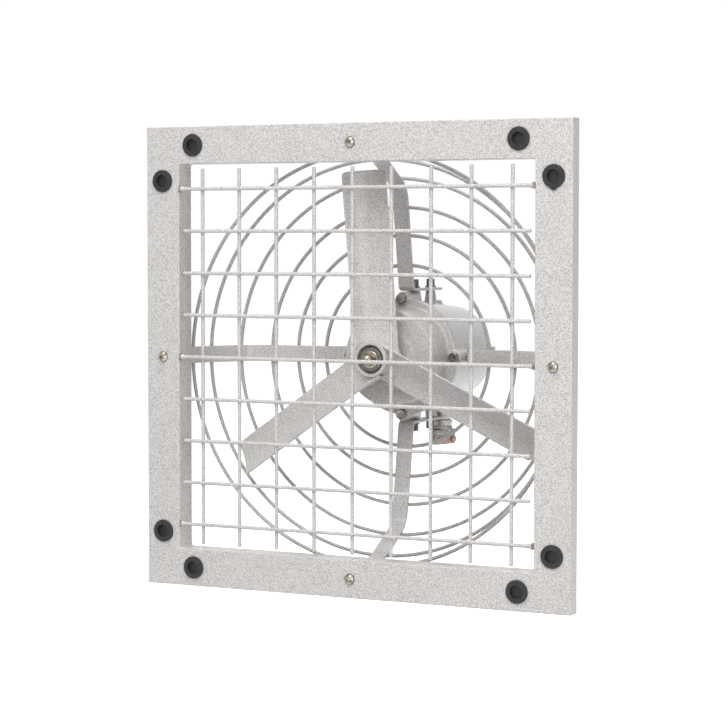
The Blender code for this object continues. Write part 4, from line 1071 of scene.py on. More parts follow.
@dataclass(frozen=True)
class FixingPlugs:
    """Rubber plugs in the frame's fixing holes, two at each corner."""

    frame: WallFrame
    flange: float = 0.0120
    height: float = 0.0028
    ring: float = 0.0080
    ring_height: float = 0.0007
    well: float = 0.0059
    well_depth: float = 0.0050
    neck: float = 0.0095
    barb: float = 0.0112
    barb_length: float = 0.006
    tip: float = 0.0085
    tip_round: float = 0.0008
    edge_round: float = 0.0004
    rim_slope: float = 0.0003
    rim_round: float = 0.0013
    ring_slope: float = 0.0004
    ring_round: float = 0.0003
    well_slope: float = 0.0007
    well_edge_round: float = 0.0005
    well_floor_round: float = 0.0006
    tongue: float = 0.0036
    tongue_place: int = 7

    def build(self, shop: Workshop) -> None:
        """Turn one plug and set eight of them, one with its moulding tongue left on."""
        back = -SEAT_GAP
        front = back - self.height
        rise = front + self.ring_height
        behind = self.frame.sheet + SEAT_GAP
        outline = rounded(
            (
                (0, behind + self.barb_length, 0),
                (self.tip, behind + self.barb_length, self.tip_round),
                (self.barb, behind, self.edge_round),
                (self.neck, behind, 0),
                (self.neck, back, 0),
                (self.flange, back, self.edge_round),
                (self.flange - self.rim_slope, rise, self.rim_round),
                (self.ring, rise, self.edge_round),
                (self.ring - self.ring_slope, front, self.ring_round),
                (self.well + self.well_slope, front, self.well_edge_round),
                (self.well, front + self.well_depth, self.well_floor_round),
                (0, front + self.well_depth, 0),
            )
        )
        places = self.frame.plug_places()
        plug = turned("plug", outline, TURNED_SIDES)
        plugs = shop.in_places("rubber_plugs", plug, places, shop.paints.rubber)
        ends = (back, back - self.height / 2)
        tongue = shaped("tongue", [(depth, self.tongue) for depth in ends], ROD_SIDES)
        below = Vector((0, 0, self.flange - self.tongue / 2))
        moved(tongue, Matrix.Translation(places[self.tongue_place] - below))
        mesh = joined("rubber_plugs", (plugs, tongue))
        nodes = [f"rubber_plug_{number}" for number in range(1, 9)]
        shop.hand_over("rubber_plugs", mesh, nodes, shop.paints.rubber)


@dataclass(frozen=True)
class FrontGrille:
    """Welded wire grille: upright wires behind level ones, three of which reach the frame."""

    frame: WallFrame
    wire: float = 0.002
    pitch: float = 0.0447
    half_count: int = 4
    depth: float = 0.002
    weld_sink: float = 0.0005
    end_clearance: float = 0.0045
    clip_height: float = 0.007
    clip_thickness: float = 0.002
    clip_depth: float = 0.005
    flare_length: float = 0.007
    flare: float = 0.0032
    weld_shares: tuple[float, float, float] = (1.25, 0.8, 1.25)
    smallest_weld: float = 0.8

    def rows(
        self, shop: Workshop, name: str, first: float, step: float, count: int, reach: float
    ) -> Mesh:
        """Return a row of upright wires, centred on the axis."""
        return shop.wires.bake(
            name, first=first, pitch=step, count=count, half_length=reach - self.wire * WIRE_END_SHARE,
            wire_radius=self.wire, material=shop.paints.paint,
        )

    def end(self, side: int) -> list[Mesh]:
        """Return the flattened end of a long wire and the clip that it is welded to."""
        wall = self.frame.opening - SEAT_GAP
        inner = wall - self.clip_thickness
        low = self.depth - self.wire + self.weld_sink
        middle = low + self.clip_depth / 2 + FRONT_Y
        steps = 6
        levels = []
        for step in range(steps + 1):
            share = step / steps
            radius = self.wire + (self.flare - self.wire) * share * share
            levels.append((inner - self.flare_length * (1 - share), radius))
        flare = shaped("flattened_end", levels, ROD_SIDES)
        level = Matrix.Translation((0, FRONT_Y + self.depth, 0))
        moved(flare, level @ Matrix.Rotation(-QUARTER_TURN, 4, "Z"))

        def block(shape: BMesh) -> None:
            """Add the clip with eased edges."""
            size = (self.clip_thickness, self.clip_depth, self.clip_height)
            place = Matrix.Translation(((wall + inner) / 2, middle, 0))
            bmesh.ops.create_cube(shape, size=1, matrix=place @ Matrix.Diagonal((*size, 1)))
            bmesh.ops.bevel(shape, geom=shape.edges, offset=EASED_EDGE, segments=2, affect="EDGES")

        clip = mesh_from("clip", block)
        if side < 0:
            back = Matrix.Translation((0, -2 * (self.depth + FRONT_Y), 0))
            for mesh in (flare, clip):
                moved(mesh, Matrix.Rotation(2 * QUARTER_TURN, 4, "Z") @ back)
        return [flare, clip]

    def build(self, shop: Workshop) -> None:
        """Weld the wires, their crossings and their ends, and hand the grille over."""
        free = self.frame.opening - self.end_clearance
        long = self.frame.opening - SEAT_GAP - self.clip_thickness
        count = 2 * self.half_count + 1
        across = Matrix.Translation((0, self.depth + FRONT_Y, 0)) @ Matrix.Rotation(QUARTER_TURN, 4, "Y")
        behind = self.depth + 2 * self.wire - self.weld_sink + FRONT_Y
        widest = self.half_count * self.pitch
        uprights = self.rows(shop, "uprights", -widest, self.pitch, count, free)
        parts = [moved(uprights, Matrix.Translation((0, behind, 0)))]
        for name, first in (("upper", self.pitch), ("lower", -widest + self.pitch)):
            short = self.rows(shop, name, first, self.pitch, self.half_count - 1, free)
            parts.append(moved(short, across))
        parts.append(moved(self.rows(shop, "long", -widest, widest, 3, long), across))
        rows = range(-self.half_count, self.half_count + 1)
        between = (self.depth + FRONT_Y + behind) / 2
        crossings = [Vector((x * self.pitch, between, z * self.pitch)) for x in rows for z in rows]

        def nugget(shape: BMesh) -> None:
            """Add a flattened ball of weld."""
            size = Matrix.Diagonal((*(self.wire * share for share in self.weld_shares), 1))
            bmesh.ops.create_uvsphere(shape, u_segments=12, v_segments=8, radius=1, matrix=size)

        weld = mesh_from("weld", nugget)
        parts.append(
            shop.in_places("welds", weld, crossings, shop.paints.paint, self.smallest_weld, WELD_SEED)
        )
        clips = []
        for row in (-widest, 0, widest):
            for side in (-1, 1):
                flare, clip = self.end(side)
                moved(flare, Matrix.Translation((0, 0, row)))
                moved(clip, Matrix.Translation((0, 0, row)))
                parts.append(flare)
                clips.append(clip)
        grille = joined("wire_grille", parts)
        shop.hand_over("wire_grille", grille, ("front_grille",), shop.paints.paint)
        clip = joined("grille_clips", clips)
        shop.hand_over("grille_clips", clip, (), shop.paints.clip_steel)


@dataclass(frozen=True)
class GuardCage:
    """Four flat stays bent round the impeller, with six wire rings welded to their outsides."""

    frame: WallFrame
    width: float = 0.018
    thickness: float = 0.003
    edge_round: float = 0.0007
    foot_end: float = 0.236
    side: float = 0.2155
    lean: float = 0.002
    heel_inset: float = 0.0325
    shoulder_depth: float = 0.060
    heel_depth: float = 0.1165
    pad: float = 0.0715
    pad_bend_depth: float = 0.1335
    pad_end_depth: float = 0.205
    bends: tuple[float, ...] = (0.0055, 0.070, 0.030, 0.0055)
    bend_steps: int = 10
    ring_wire: float = 0.002
    ring_shares: tuple[float, ...] = (0.203, 0.311, 0.471, 0.610, 0.739, 0.8765)
    screw_head: float = 0.0057
    screw_height: float = 0.0036
    screw_radius: float = 0.003
    screw_length: float = 0.009
    socket: float = 0.0023
    socket_depth: float = 0.0018
    socket_lip: float = 0.00015
    socket_lip_share: float = 1.25
    socket_floor_share: float = 0.97
    bead_sink_share: float = 0.75
    bead_length_share: float = 0.24
    bead_length_step: float = 0.02
    bead_width_share: float = 1.35
    bead_height_share: float = 0.75

    def path(self) -> list[Vector]:
        """Return a stay's middle line as (radius, depth) points."""
        foot_depth = self.frame.sheet + SEAT_GAP + self.thickness / 2
        shoulder = self.side - self.lean
        corners = (
            (self.foot_end, foot_depth, 0),
            (self.side, foot_depth, self.bends[0]),
            (shoulder, self.shoulder_depth, self.bends[1]),
            (shoulder - self.heel_inset, self.heel_depth, self.bends[2]),
            (self.pad, self.pad_bend_depth, self.bends[3]),
            (self.pad, self.pad_end_depth, 0),
        )
        return rounded(corners, self.bend_steps)

    def ring_places(self) -> list[tuple[Vector, Vector]]:
        """Return each ring's wire centre and its outward direction, as (radius, depth)."""
        path = self.path()[1:-1]
        lengths = [(b - a).length for a, b in zip(path, path[1:])]
        places = []
        for share in self.ring_shares:
            left = share * sum(lengths)
            for a, b, length in zip(path, path[1:], lengths):
                if left <= length:
                    break
                left -= length
            ahead = (b - a).normalized()
            outward = Vector((ahead.y, -ahead.x))
            offset = self.thickness / 2 + SEAT_GAP + self.ring_wire
            places.append((a + ahead * left + outward * offset, outward))
        return places

    def build(self, shop: Workshop) -> None:
        """Bend the stays, weld the rings and fit the screws."""
        line = bpy.data.meshes.new("stay_line")
        points = [(0, point.y + FRONT_Y, point.x) for point in self.path()]
        line.from_pydata(points, [(i, i + 1) for i in range(len(points) - 1)], [])
        paint = shop.paints.paint
        bar = shop.bar.bake(
            "stay", line, width=self.width, thickness=self.thickness, edge_round=self.edge_round,
            material=paint,
        )
        stays = shop.on_four_sides("stays", bar, paint)
        shop.hand_over("bent_stays", stays, [f"stay_{side}" for side in SIDES])
        # The rings and their beads take the darker paint, which is painted shade.
        paint = shop.paints.ring_paint_with_painted_shade
        parts = []
        for number, (centre, outward) in enumerate(self.ring_places()):
            ring = shop.ring.bake(
                "ring", ring_radius=centre.x, wire_radius=self.ring_wire, place=centre.y + FRONT_Y,
                material=paint,
            )
            parts.append(ring)
            parts.append(shop.on_four_sides("bead", self.bead(centre, outward, number), paint))
        nodes = [f"guard_ring_{number}" for number in range(1, len(self.ring_shares) + 1)]
        rings = joined("guard_rings", parts)
        shop.hand_over("guard_rings", rings, nodes, paint)
        self.build_screws(shop)

    def bead(self, centre: Vector, outward: Vector, number: int) -> Mesh:
        """Return the weld bead between a ring and the stay at the top."""
        spot = centre - outward * self.ring_wire * self.bead_sink_share
        length = self.width * (self.bead_length_share + self.bead_length_step * (number % 3))
        width, height = self.ring_wire * self.bead_width_share, self.ring_wire * self.bead_height_share
        turn = math.atan2(outward.x, outward.y)

        def lump(shape: BMesh) -> None:
            """Add the bead as a stretched ball, tilted along the stay."""
            size = Matrix.Diagonal((length, width, height, 1))
            place = Matrix.Translation((0, spot.y + FRONT_Y, spot.x)) @ Matrix.Rotation(-turn, 4, "X")
            bmesh.ops.create_uvsphere(shape, u_segments=16, v_segments=10, radius=1, matrix=place @ size)

        return mesh_from("bead", lump)

    def build_screws(self, shop: Workshop) -> None:
        """Turn a domed socket screw and fit one in each rail."""
        back = -SEAT_GAP
        front = back - self.screw_height
        levels = [(self.screw_length, self.screw_radius), (back, self.screw_radius)]
        levels += dome_levels(back, self.screw_height, self.screw_head, self.socket)
        levels += [
            (front + self.socket_lip, self.socket * self.socket_lip_share),
            (front + EASED_EDGE, hexagon(self.socket)),
            (front + self.socket_depth, hexagon(self.socket * self.socket_floor_share)),
        ]
        screw = shaped("screw", levels)
        moved(screw, Matrix.Translation((0, FRONT_Y, self.frame.rail_centre)))
        screws = shop.on_four_sides("stay_screws", screw, shop.paints.zinc)
        nodes = [f"stay_screw_{side}" for side in SIDES]
        shop.hand_over("stay_screws", screws, nodes)


@dataclass(frozen=True)
class Impeller:
    """One-piece impeller: three cambered blades on a hub with a well for the nut."""

    radius: float = 0.199
    blade_angle: float = math.radians(4.8)
    blades: int = 3
    front_offset: float = 0.0192
    back_offset: float = 0.0202
    front_setback: float = 0.0038
    back_setback: float = 0.0295
    camber: float = 0.0055
    thickness: float = 0.0026
    root: float = 0.0005
    root_flare: float = 0.0022
    root_spread: float = 0.0018
    root_reach: float = 0.035
    tip_round: float = 0.005
    hub_front: float = 0.0455
    hub_back: float = 0.086
    hub: float = 0.0187
    well: float = 0.0155
    well_depth: float = 0.0045
    well_floor: float = 0.0129
    bore: float = 0.0073
    bare_depth: float = 0.0010
    flare_fade: float = 0.004
    tip_thickness_share: float = 0.8
    straight_reach: float = 0.03
    hub_back_round: float = 0.0016
    hub_swell: float = 0.0004
    hub_swell_depth: float = 0.012
    hub_front_round: float = 0.0012
    well_lip: float = 0.0012
    well_slope: float = 0.0004
    well_edge_round: float = 0.0006
    well_lip_round: float = 0.0005
    well_floor_rise: float = 0.0010
    well_floor_round: float = 0.0008
    well_margin: float = 0.0001
    rear_facing: float = 0.9
    tip_gap: float = 0.0001
    tip_steps: int = 6
    chord_steps: int = 28
    span_steps: int = 40

    def section(self, reach: float) -> list[Vector]:
        """Return a blade's closed section at a distance from the axis, as points of a blade pointing up.

        Args:
            reach: The distance from the axis.

        Returns:
            The points round the section.
        """
        front = Vector((-self.front_offset, self.hub_front + self.front_setback))
        back = Vector((self.back_offset, self.hub_front + self.back_setback))
        front += (front - back).normalized() * self.spread(reach)
        middle, chord = (front + back) / 2, back - front
        normal = Vector((-chord.y, chord.x)).normalized()
        along = chord.normalized()
        half = chord.length / 2
        near_tip = max(0.0, reach - (self.radius - self.tip_round))
        half -= self.tip_round - math.sqrt(self.tip_round**2 - near_tip**2)
        flare = self.root_flare * math.exp(-max(0.0, reach - self.hub) / self.flare_fade)
        thick = self.thickness / 2 + flare
        if near_tip > self.tip_round - self.thickness / 2:
            thick *= self.tip_thickness_share
        points = []
        for step in range(2 * self.chord_steps):
            angle = FULL_TURN * step / (2 * self.chord_steps)
            across = math.cos(angle)
            edge = min(1.0, (1 - abs(across)) * half / thick)
            lift = math.copysign(math.sqrt(1 - (1 - edge) ** 2), math.sin(angle)) * thick
            if abs(math.sin(angle)) < MERGE_DISTANCE:
                lift = 0.0
            share = across * half / (chord.length / 2)
            point = middle + along * across * half + normal * (self.camber * (1 - share * share) + lift)
            points.append(self.on_cylinder(point, reach))
        return points

    def spread(self, reach: float) -> float:
        """Return how much wider the blade's front edge is near the hub."""
        share = min(1.0, max(0.0, (self.root_reach - reach) / (self.root_reach - self.hub / 2)))
        return self.root_spread * share * share * (3 - 2 * share)

    def on_cylinder(self, point: Vector, reach: float) -> Vector:
        """Place a section's point so that the tip follows the circle that the blade sweeps."""
        near = self.straight_reach
        height = math.sqrt(max(reach**2 - point.x**2, 0.0)) if reach > near else reach
        blend = min(1.0, max(0.0, (reach - near) / near))
        height = reach * (1 - blend) + height * blend
        return Vector((point.x, point.y + FRONT_Y, height))

    def blade(self) -> Mesh:
        """Return one blade, pointing up."""
        straight = self.radius - self.tip_round
        length = straight - self.root
        stations = [self.root + length * step / self.span_steps for step in range(self.span_steps + 1)]
        for step in range(1, self.tip_steps):
            stations.append(straight + self.tip_round * math.sin(QUARTER_TURN * step / self.tip_steps))
        stations.append(self.radius - self.tip_gap)

        def build(shape: BMesh) -> None:
            """Stack the blade's sections from root to tip."""
            stack(shape, [[shape.verts.new(point) for point in self.section(reach)] for reach in stations])

        return mesh_from("blade", build)

    def build(self, shop: Workshop) -> None:
        """Cast the hub and its blades."""
        paint, bare = shop.paints.paint, shop.paints.machined
        blade = self.blade()
        moved(blade, Matrix.Rotation(-self.blade_angle, 4, "Y"))
        blades = shop.round.bake(
            "blades", blade, count=self.blades, turn=(0, FULL_TURN / self.blades, 0), material=paint
        )
        floor = self.hub_front + self.well_depth
        outline = rounded(
            (
                (self.bore, self.hub_back, 0),
                (self.hub, self.hub_back, self.hub_back_round),
                (self.hub + self.hub_swell, self.hub_front + self.hub_swell_depth, 0),
                (self.hub, self.hub_front, self.hub_front_round),
                (self.well, self.hub_front, self.well_edge_round),
                (self.well - self.well_slope, self.hub_front + self.well_lip, self.well_lip_round),
                (self.well_floor, floor - self.well_floor_rise, self.well_floor_round),
                (self.well_floor, floor, 0),
                (self.bore, floor, 0),
            )
        )
        hub = moved(turned("hub", outline), FORWARD)
        whole = joined("cast_impeller", (blades, hub))
        whole.materials.clear()
        for material in (paint, bare):
            whole.materials.append(material)
        for face in whole.polygons:
            centre = face.center
            reach = math.hypot(centre.x, centre.z)
            sunk = centre.y > FRONT_Y + self.hub_front + self.bare_depth
            inside = reach < self.well + self.well_margin
            face.material_index = 1 if sunk and inside and face.normal.y < self.rear_facing else 0
        shop.hand_over("cast_impeller", whole, ("impeller",), body="rotor")


@dataclass(frozen=True)
class Drive:
    """Shaft, washer and dome nut, which show, and the inner works of the motor, which do not."""

    impeller: Impeller
    shaft_radius: float = 0.0070
    journal: float = 0.0075
    core: float = 0.0100
    thread: float = 0.0040
    thread_pitch: float = 0.00125
    thread_reach: float = 0.0055
    thread_cut: float = 0.0006
    thread_chamfer: float = 0.0008
    end_round: float = 0.0006
    shoulder_round: float = 0.0005
    seat_round: float = 0.0004
    front_bearing: float = 0.0975
    rear_bearing: float = 0.228
    bearing_width: float = 0.011
    washer: float = 0.0125
    washer_thickness: float = 0.0020
    washer_round: float = 0.0005
    washer_back_round: float = 0.0002
    washer_slope: float = 0.0001
    flange: float = 0.0090
    flange_height: float = 0.0020
    flange_edge: float = 0.0006
    flange_inset: float = 0.0008
    hexagon_chamfer: float = 0.0005
    hexagon: float = 0.0075
    hexagon_height: float = 0.0048
    dome: float = 0.0062
    seal_radius: float = 0.0130
    seal_thickness: float = 0.0055
    seal_seat: float = 0.008
    seal_lip_gap: float = 0.0004
    seal_round: float = 0.0004
    seal_outer_round: float = 0.0005
    seal_rims: tuple[float, float] = (0.0018, 0.0022)
    seal_groove: float = 0.0012

    def build(self, shop: Workshop) -> None:
        """Turn the visible pieces and finish the hidden ones."""
        self.build_shaft(shop)
        self.build_nut(shop)
        hidden = {
            shop.paints.ground_steel: (
                "shaft_key", "front_bearing_outer", "front_bearing_inner", "front_ball_cage",
                "rear_bearing_outer", "rear_bearing_inner", "rear_ball_cage",
            ),
            shop.paints.laminations: ("stator_core", "rotor_core"),
            shop.paints.wire: ("winding_front", "winding_rear"),
        }
        for material, names in hidden.items():
            dress_nodes(names, material)

    def build_shaft(self, shop: Workshop) -> None:
        """Turn the stepped shaft with its threaded end."""
        floor = self.impeller.hub_front + self.impeller.well_depth
        tip = self.impeller.hub_front - self.thread_reach
        thread = []
        turns = int((floor - tip) / self.thread_pitch)
        for turn in range(turns):
            start = floor - turn * self.thread_pitch
            thread.append((self.thread, start, 0))
            thread.append((self.thread - self.thread_cut, start - self.thread_pitch / 2, 0))
        back = self.rear_bearing + self.bearing_width
        rear_seat = self.rear_bearing - SEAT_GAP
        front_seat = self.front_bearing + self.bearing_width + SEAT_GAP
        shoulder = self.front_bearing - SEAT_GAP
        corners = [
            (0, back, 0),
            (self.journal, back, self.end_round),
            (self.journal, rear_seat, 0),
            (self.core, rear_seat, self.shoulder_round),
            (self.core, front_seat, self.shoulder_round),
            (self.journal, front_seat, 0),
            (self.journal, shoulder, EASED_EDGE),
            (self.shaft_radius, shoulder, 0),
            (self.shaft_radius, floor, self.seat_round),
        ]
        outline = rounded(corners + thread + [(self.thread - self.thread_chamfer, tip, 0), (0, tip, 0)])
        shaft = moved(turned("steel_shaft", outline, TURNED_SIDES), FORWARD)
        shop.hand_over("steel_shaft", shaft, ("shaft",), shop.paints.ground_steel, "rotor")
        front = self.front_bearing - self.seal_seat + SEAT_GAP
        lip = self.shaft_radius + self.seal_lip_gap
        rim, groove = (self.seal_radius - inset for inset in self.seal_rims)
        seal_outline = rounded(
            (
                (lip, front + self.seal_thickness, 0),
                (self.seal_radius, front + self.seal_thickness, self.seal_round),
                (self.seal_radius, front, self.seal_outer_round),
                (rim, front, EASED_EDGE),
                (groove, front + self.seal_groove, self.seal_round),
                (lip + self.seal_groove, front + self.seal_groove, self.seal_round),
                (lip, front + self.seal_lip_gap, 0),
            )
        )
        seal = moved(turned("lip_seal", seal_outline, TURNED_SIDES), FORWARD)
        shop.hand_over("lip_seal", seal, ("shaft_seal",), shop.paints.rubber)

    def build_nut(self, shop: Workshop) -> None:
        """Make the washer and the flanged dome nut in the hub's well."""
        washer_back = self.impeller.hub_front + self.impeller.well_depth - SEAT_GAP
        washer_front = washer_back - self.washer_thickness
        hole = self.thread + SEAT_GAP
        ring = rounded(
            (
                (hole, washer_back, 0),
                (self.washer, washer_back, self.washer_back_round),
                (self.washer, washer_front, self.washer_round),
                (hole, washer_front, self.washer_back_round),
                (hole, washer_back - self.washer_slope, 0),
            )
        )
        washer = moved(turned("plain_washer", ring, TURNED_SIDES), FORWARD)
        shop.hand_over("plain_washer", washer, ("hub_washer",), shop.paints.machined, "rotor")
        back = washer_front - SEAT_GAP
        face = back - self.flange_height
        top = face - self.hexagon_height
        levels = [(back, self.flange - EASED_EDGE), (back - EASED_EDGE, self.flange)]
        levels += [(face + self.flange_edge, self.flange), (face, self.flange - self.flange_inset)]
        levels += hexagon_levels(self.hexagon, face, top, self.hexagon_chamfer)
        levels += dome_levels(top, self.dome, self.dome)
        nut = moved(shaped("dome_nut", levels, NUT_SIDES), FORWARD)
        shop.hand_over("dome_nut", nut, ("hub_nut",), shop.paints.dome_nut, "rotor")


def dress_nodes(names: Iterable[str], material: Material) -> None:
    """Give CAD nodes a material in their own slots."""
    for name in names:
        node = bpy.data.objects[name]
        for number in range(len(node.material_slots)):
            node.material_slots[number].material = material
        LOG.info("%s: dressed in %s", name, material.name)


@dataclass(frozen=True)
class Motor:
    """Cast motor: front cover with four ears, housing with posts and a cable entry, and its bolts."""

    cage: GuardCage
    face_depth: float = 0.0895
    face_radius: float = 0.0520
    side_radius: float = 0.0545
    flange_depth: float = 0.123
    flange_radius: float = 0.063
    flange_thickness: float = 0.009
    flange_round: float = 0.0012
    side_round: float = 0.003
    face_round: float = 0.002
    step_radii: tuple[float, float] = (0.030, 0.028)
    step_round: float = 0.001
    step_height: float = 0.0008
    collar: float = 0.003
    collar_depth: float = 0.0004
    bolt_circle: float = 0.062
    ear: float = 0.0077
    ear_rise: float = 0.0006
    boss_length: float = 0.018
    front_radius: float = 0.060
    rear_radius: float = 0.052
    rear_depth: float = 0.243
    dome_height: float = 0.012
    seal_hole: float = 0.0133
    post_depths: tuple[float, float] = (0.153, 0.1935)
    post_radii: tuple[float, float] = (0.0065, 0.0052)
    post_flare: float = 0.0026
    post_sink: float = 0.01
    nub_depth: float = 0.2155
    nub_radius: float = 0.0028
    nub_top: float = 0.0588
    entry_depth: float = 0.224
    entry_radius: float = 0.0130
    entry_bottom: float = 0.0620
    voxel: float = 0.0010
    head: float = 0.0060
    head_height: float = 0.0045
    head_chamfer: float = 0.0007
    head_dish_share: float = 0.55
    bolt_radius: float = 0.0030
    bolt_length: float = 0.023
    washer: float = 0.0061
    washer_height: float = 0.0016
    cap: float = 0.0046
    cap_height: float = 0.0076
    screw_edge: float = 0.0004
    socket: float = 0.0029
    socket_depth: float = 0.0030
    screw_length: float = 0.012

    def cast(self, name: str, parts: Sequence[Mesh]) -> Mesh:
        """Melt closed meshes into one casting with soft inner corners."""
        blank = joined(name, parts)
        casting = with_modifiers(
            blank,
            (
                ("REMESH", {"mode": "VOXEL", "voxel_size": self.voxel, "use_smooth_shade": True}),
                ("SMOOTH", {"factor": 0.5, "iterations": 5}),
            ),
        )
        casting.shade_smooth()
        return casting

    def lug(self, start: float, end: float, radius: float, turn: int) -> Mesh:
        """Return a round lug along the axis at one of the cover bolts' places."""
        lug = shaped("lug", [(start + FRONT_Y, radius), (end + FRONT_Y, radius)])
        return moved(lug, side_turn(turn) @ Matrix.Translation((0, 0, self.bolt_circle)))

    def post(self, depth: float, radius: float, top: float, turn: int) -> Mesh:
        """Return a round, tapered post that stands on the housing."""
        root, wide = self.rear_radius, radius + self.post_flare
        post = shaped("post", [(self.post_sink - root, wide), (-root, wide), (-top, radius)])
        return moved(post, side_turn(turn) @ outwards(depth))

    def build(self, shop: Workshop) -> None:
        """Cast the cover and the housing, and bolt them together."""
        self.build_cover(shop)
        self.build_housing(shop)
        self.build_cover_bolts(shop)
        self.build_foot_screws(shop)

    def build_cover(self, shop: Workshop) -> None:
        """Cast the front cover."""
        back = self.flange_depth + self.flange_thickness
        step_outer, step_inner = self.step_radii
        step = self.face_depth - self.step_height
        outline = rounded(
            (
                (self.seal_hole, back, 0),
                (self.flange_radius, back, 0),
                (self.flange_radius, self.flange_depth, self.flange_round),
                (self.side_radius, self.flange_depth, self.side_round),
                (self.face_radius, self.face_depth, self.face_round),
                (step_outer, self.face_depth, self.step_round),
                (step_inner, step, self.step_round),
                (self.seal_hole + self.collar, step, self.step_round),
                (self.seal_hole, self.face_depth + self.collar_depth, 0),
            )
        )
        parts = [moved(turned("cover", outline), FORWARD)]
        for index in range(4):
            parts.append(self.lug(self.flange_depth - self.ear_rise, back, self.ear, index))
        mesh = self.cast("front_cover", parts)
        shop.hand_over("cast_front_cover", mesh, ("front_cover",), shop.paints.paint)

    def build_housing(self, shop: Workshop) -> None:
        """Cast the motor's shell."""
        front = self.flange_depth + self.flange_thickness + SEAT_GAP
        steps = 10
        dome = [
            Vector((self.rear_radius * math.cos(angle), self.rear_depth + self.dome_height * math.sin(angle)))
            for angle in (QUARTER_TURN * step / steps for step in range(steps))
        ]
        outline = [Vector((0, front)), Vector((self.front_radius, front))] + dome
        outline.append(Vector((0, self.rear_depth + self.dome_height)))
        parts = [moved(turned("shell", outline), FORWARD)]
        top = self.cage.pad - self.cage.thickness / 2 - SEAT_GAP
        for index in range(4):
            parts.append(self.lug(front, front + self.boss_length, self.ear, index))
            for depth, radius in zip(self.post_depths, self.post_radii):
                parts.append(self.post(depth, radius, top, index))
        parts.append(self.post(self.entry_depth, self.entry_radius, self.entry_bottom, 2))
        parts.append(self.post(self.nub_depth, self.nub_radius, self.nub_top, 0))
        mesh = self.cast("motor_shell", parts)
        shop.hand_over("cast_motor_shell", mesh, ("motor_housing",), shop.paints.motor_paint)

    def build_cover_bolts(self, shop: Workshop) -> None:
        """Make the four hexagon bolts of the front cover."""
        seat = self.flange_depth - self.ear_rise - SEAT_GAP
        front = seat - self.head_height
        shank = self.bolt_radius
        levels = [(self.flange_depth + self.bolt_length, shank), (seat, shank)]
        levels += hexagon_levels(self.head, seat, front, self.head_chamfer)
        levels.append((front + EASED_EDGE, self.head * self.head_dish_share))
        bolt = shaped("bolt", levels)
        moved(bolt, Matrix.Translation((0, FRONT_Y, self.bolt_circle)))
        bolts = shop.on_four_sides("cover_bolts", bolt, shop.paints.oiled_steel)
        shop.hand_over("cover_bolts", bolts, [f"cover_bolt_{side}" for side in SIDES])

    def build_foot_screws(self, shop: Workshop) -> None:
        """Make the socket head screws and washers that hold the stays."""
        seat = self.cage.pad + self.cage.thickness / 2 + SEAT_GAP
        washer_top = seat + self.washer_height
        cap_top = washer_top + self.cap_height
        start = seat - SEAT_GAP - self.screw_length
        edge = self.screw_edge
        levels = [(start, self.bolt_radius), (seat, self.bolt_radius)]
        levels += [(seat, self.washer), (washer_top - edge, self.washer)]
        levels += [(washer_top, self.washer - edge), (washer_top, self.cap)]
        levels += [(cap_top - edge, self.cap), (cap_top, self.cap - edge)]
        levels += [(cap_top, self.socket + edge), (cap_top - edge, hexagon(self.socket))]
        levels.append((cap_top - self.socket_depth, hexagon(self.socket)))
        upright = [(-height, radius_at) for height, radius_at in levels]
        names, parts = [], []
        for place, depth in zip(("front", "rear"), self.post_depths):
            parts.append(moved(shaped("cap_screw", upright), outwards(depth)))
            names += [f"foot_bolt_{place}_{side}" for side in SIDES]
        screws = shop.on_four_sides("foot_screws", joined("foot_screws", parts), shop.paints.dark_steel)
        shop.hand_over("foot_screws", screws, names)


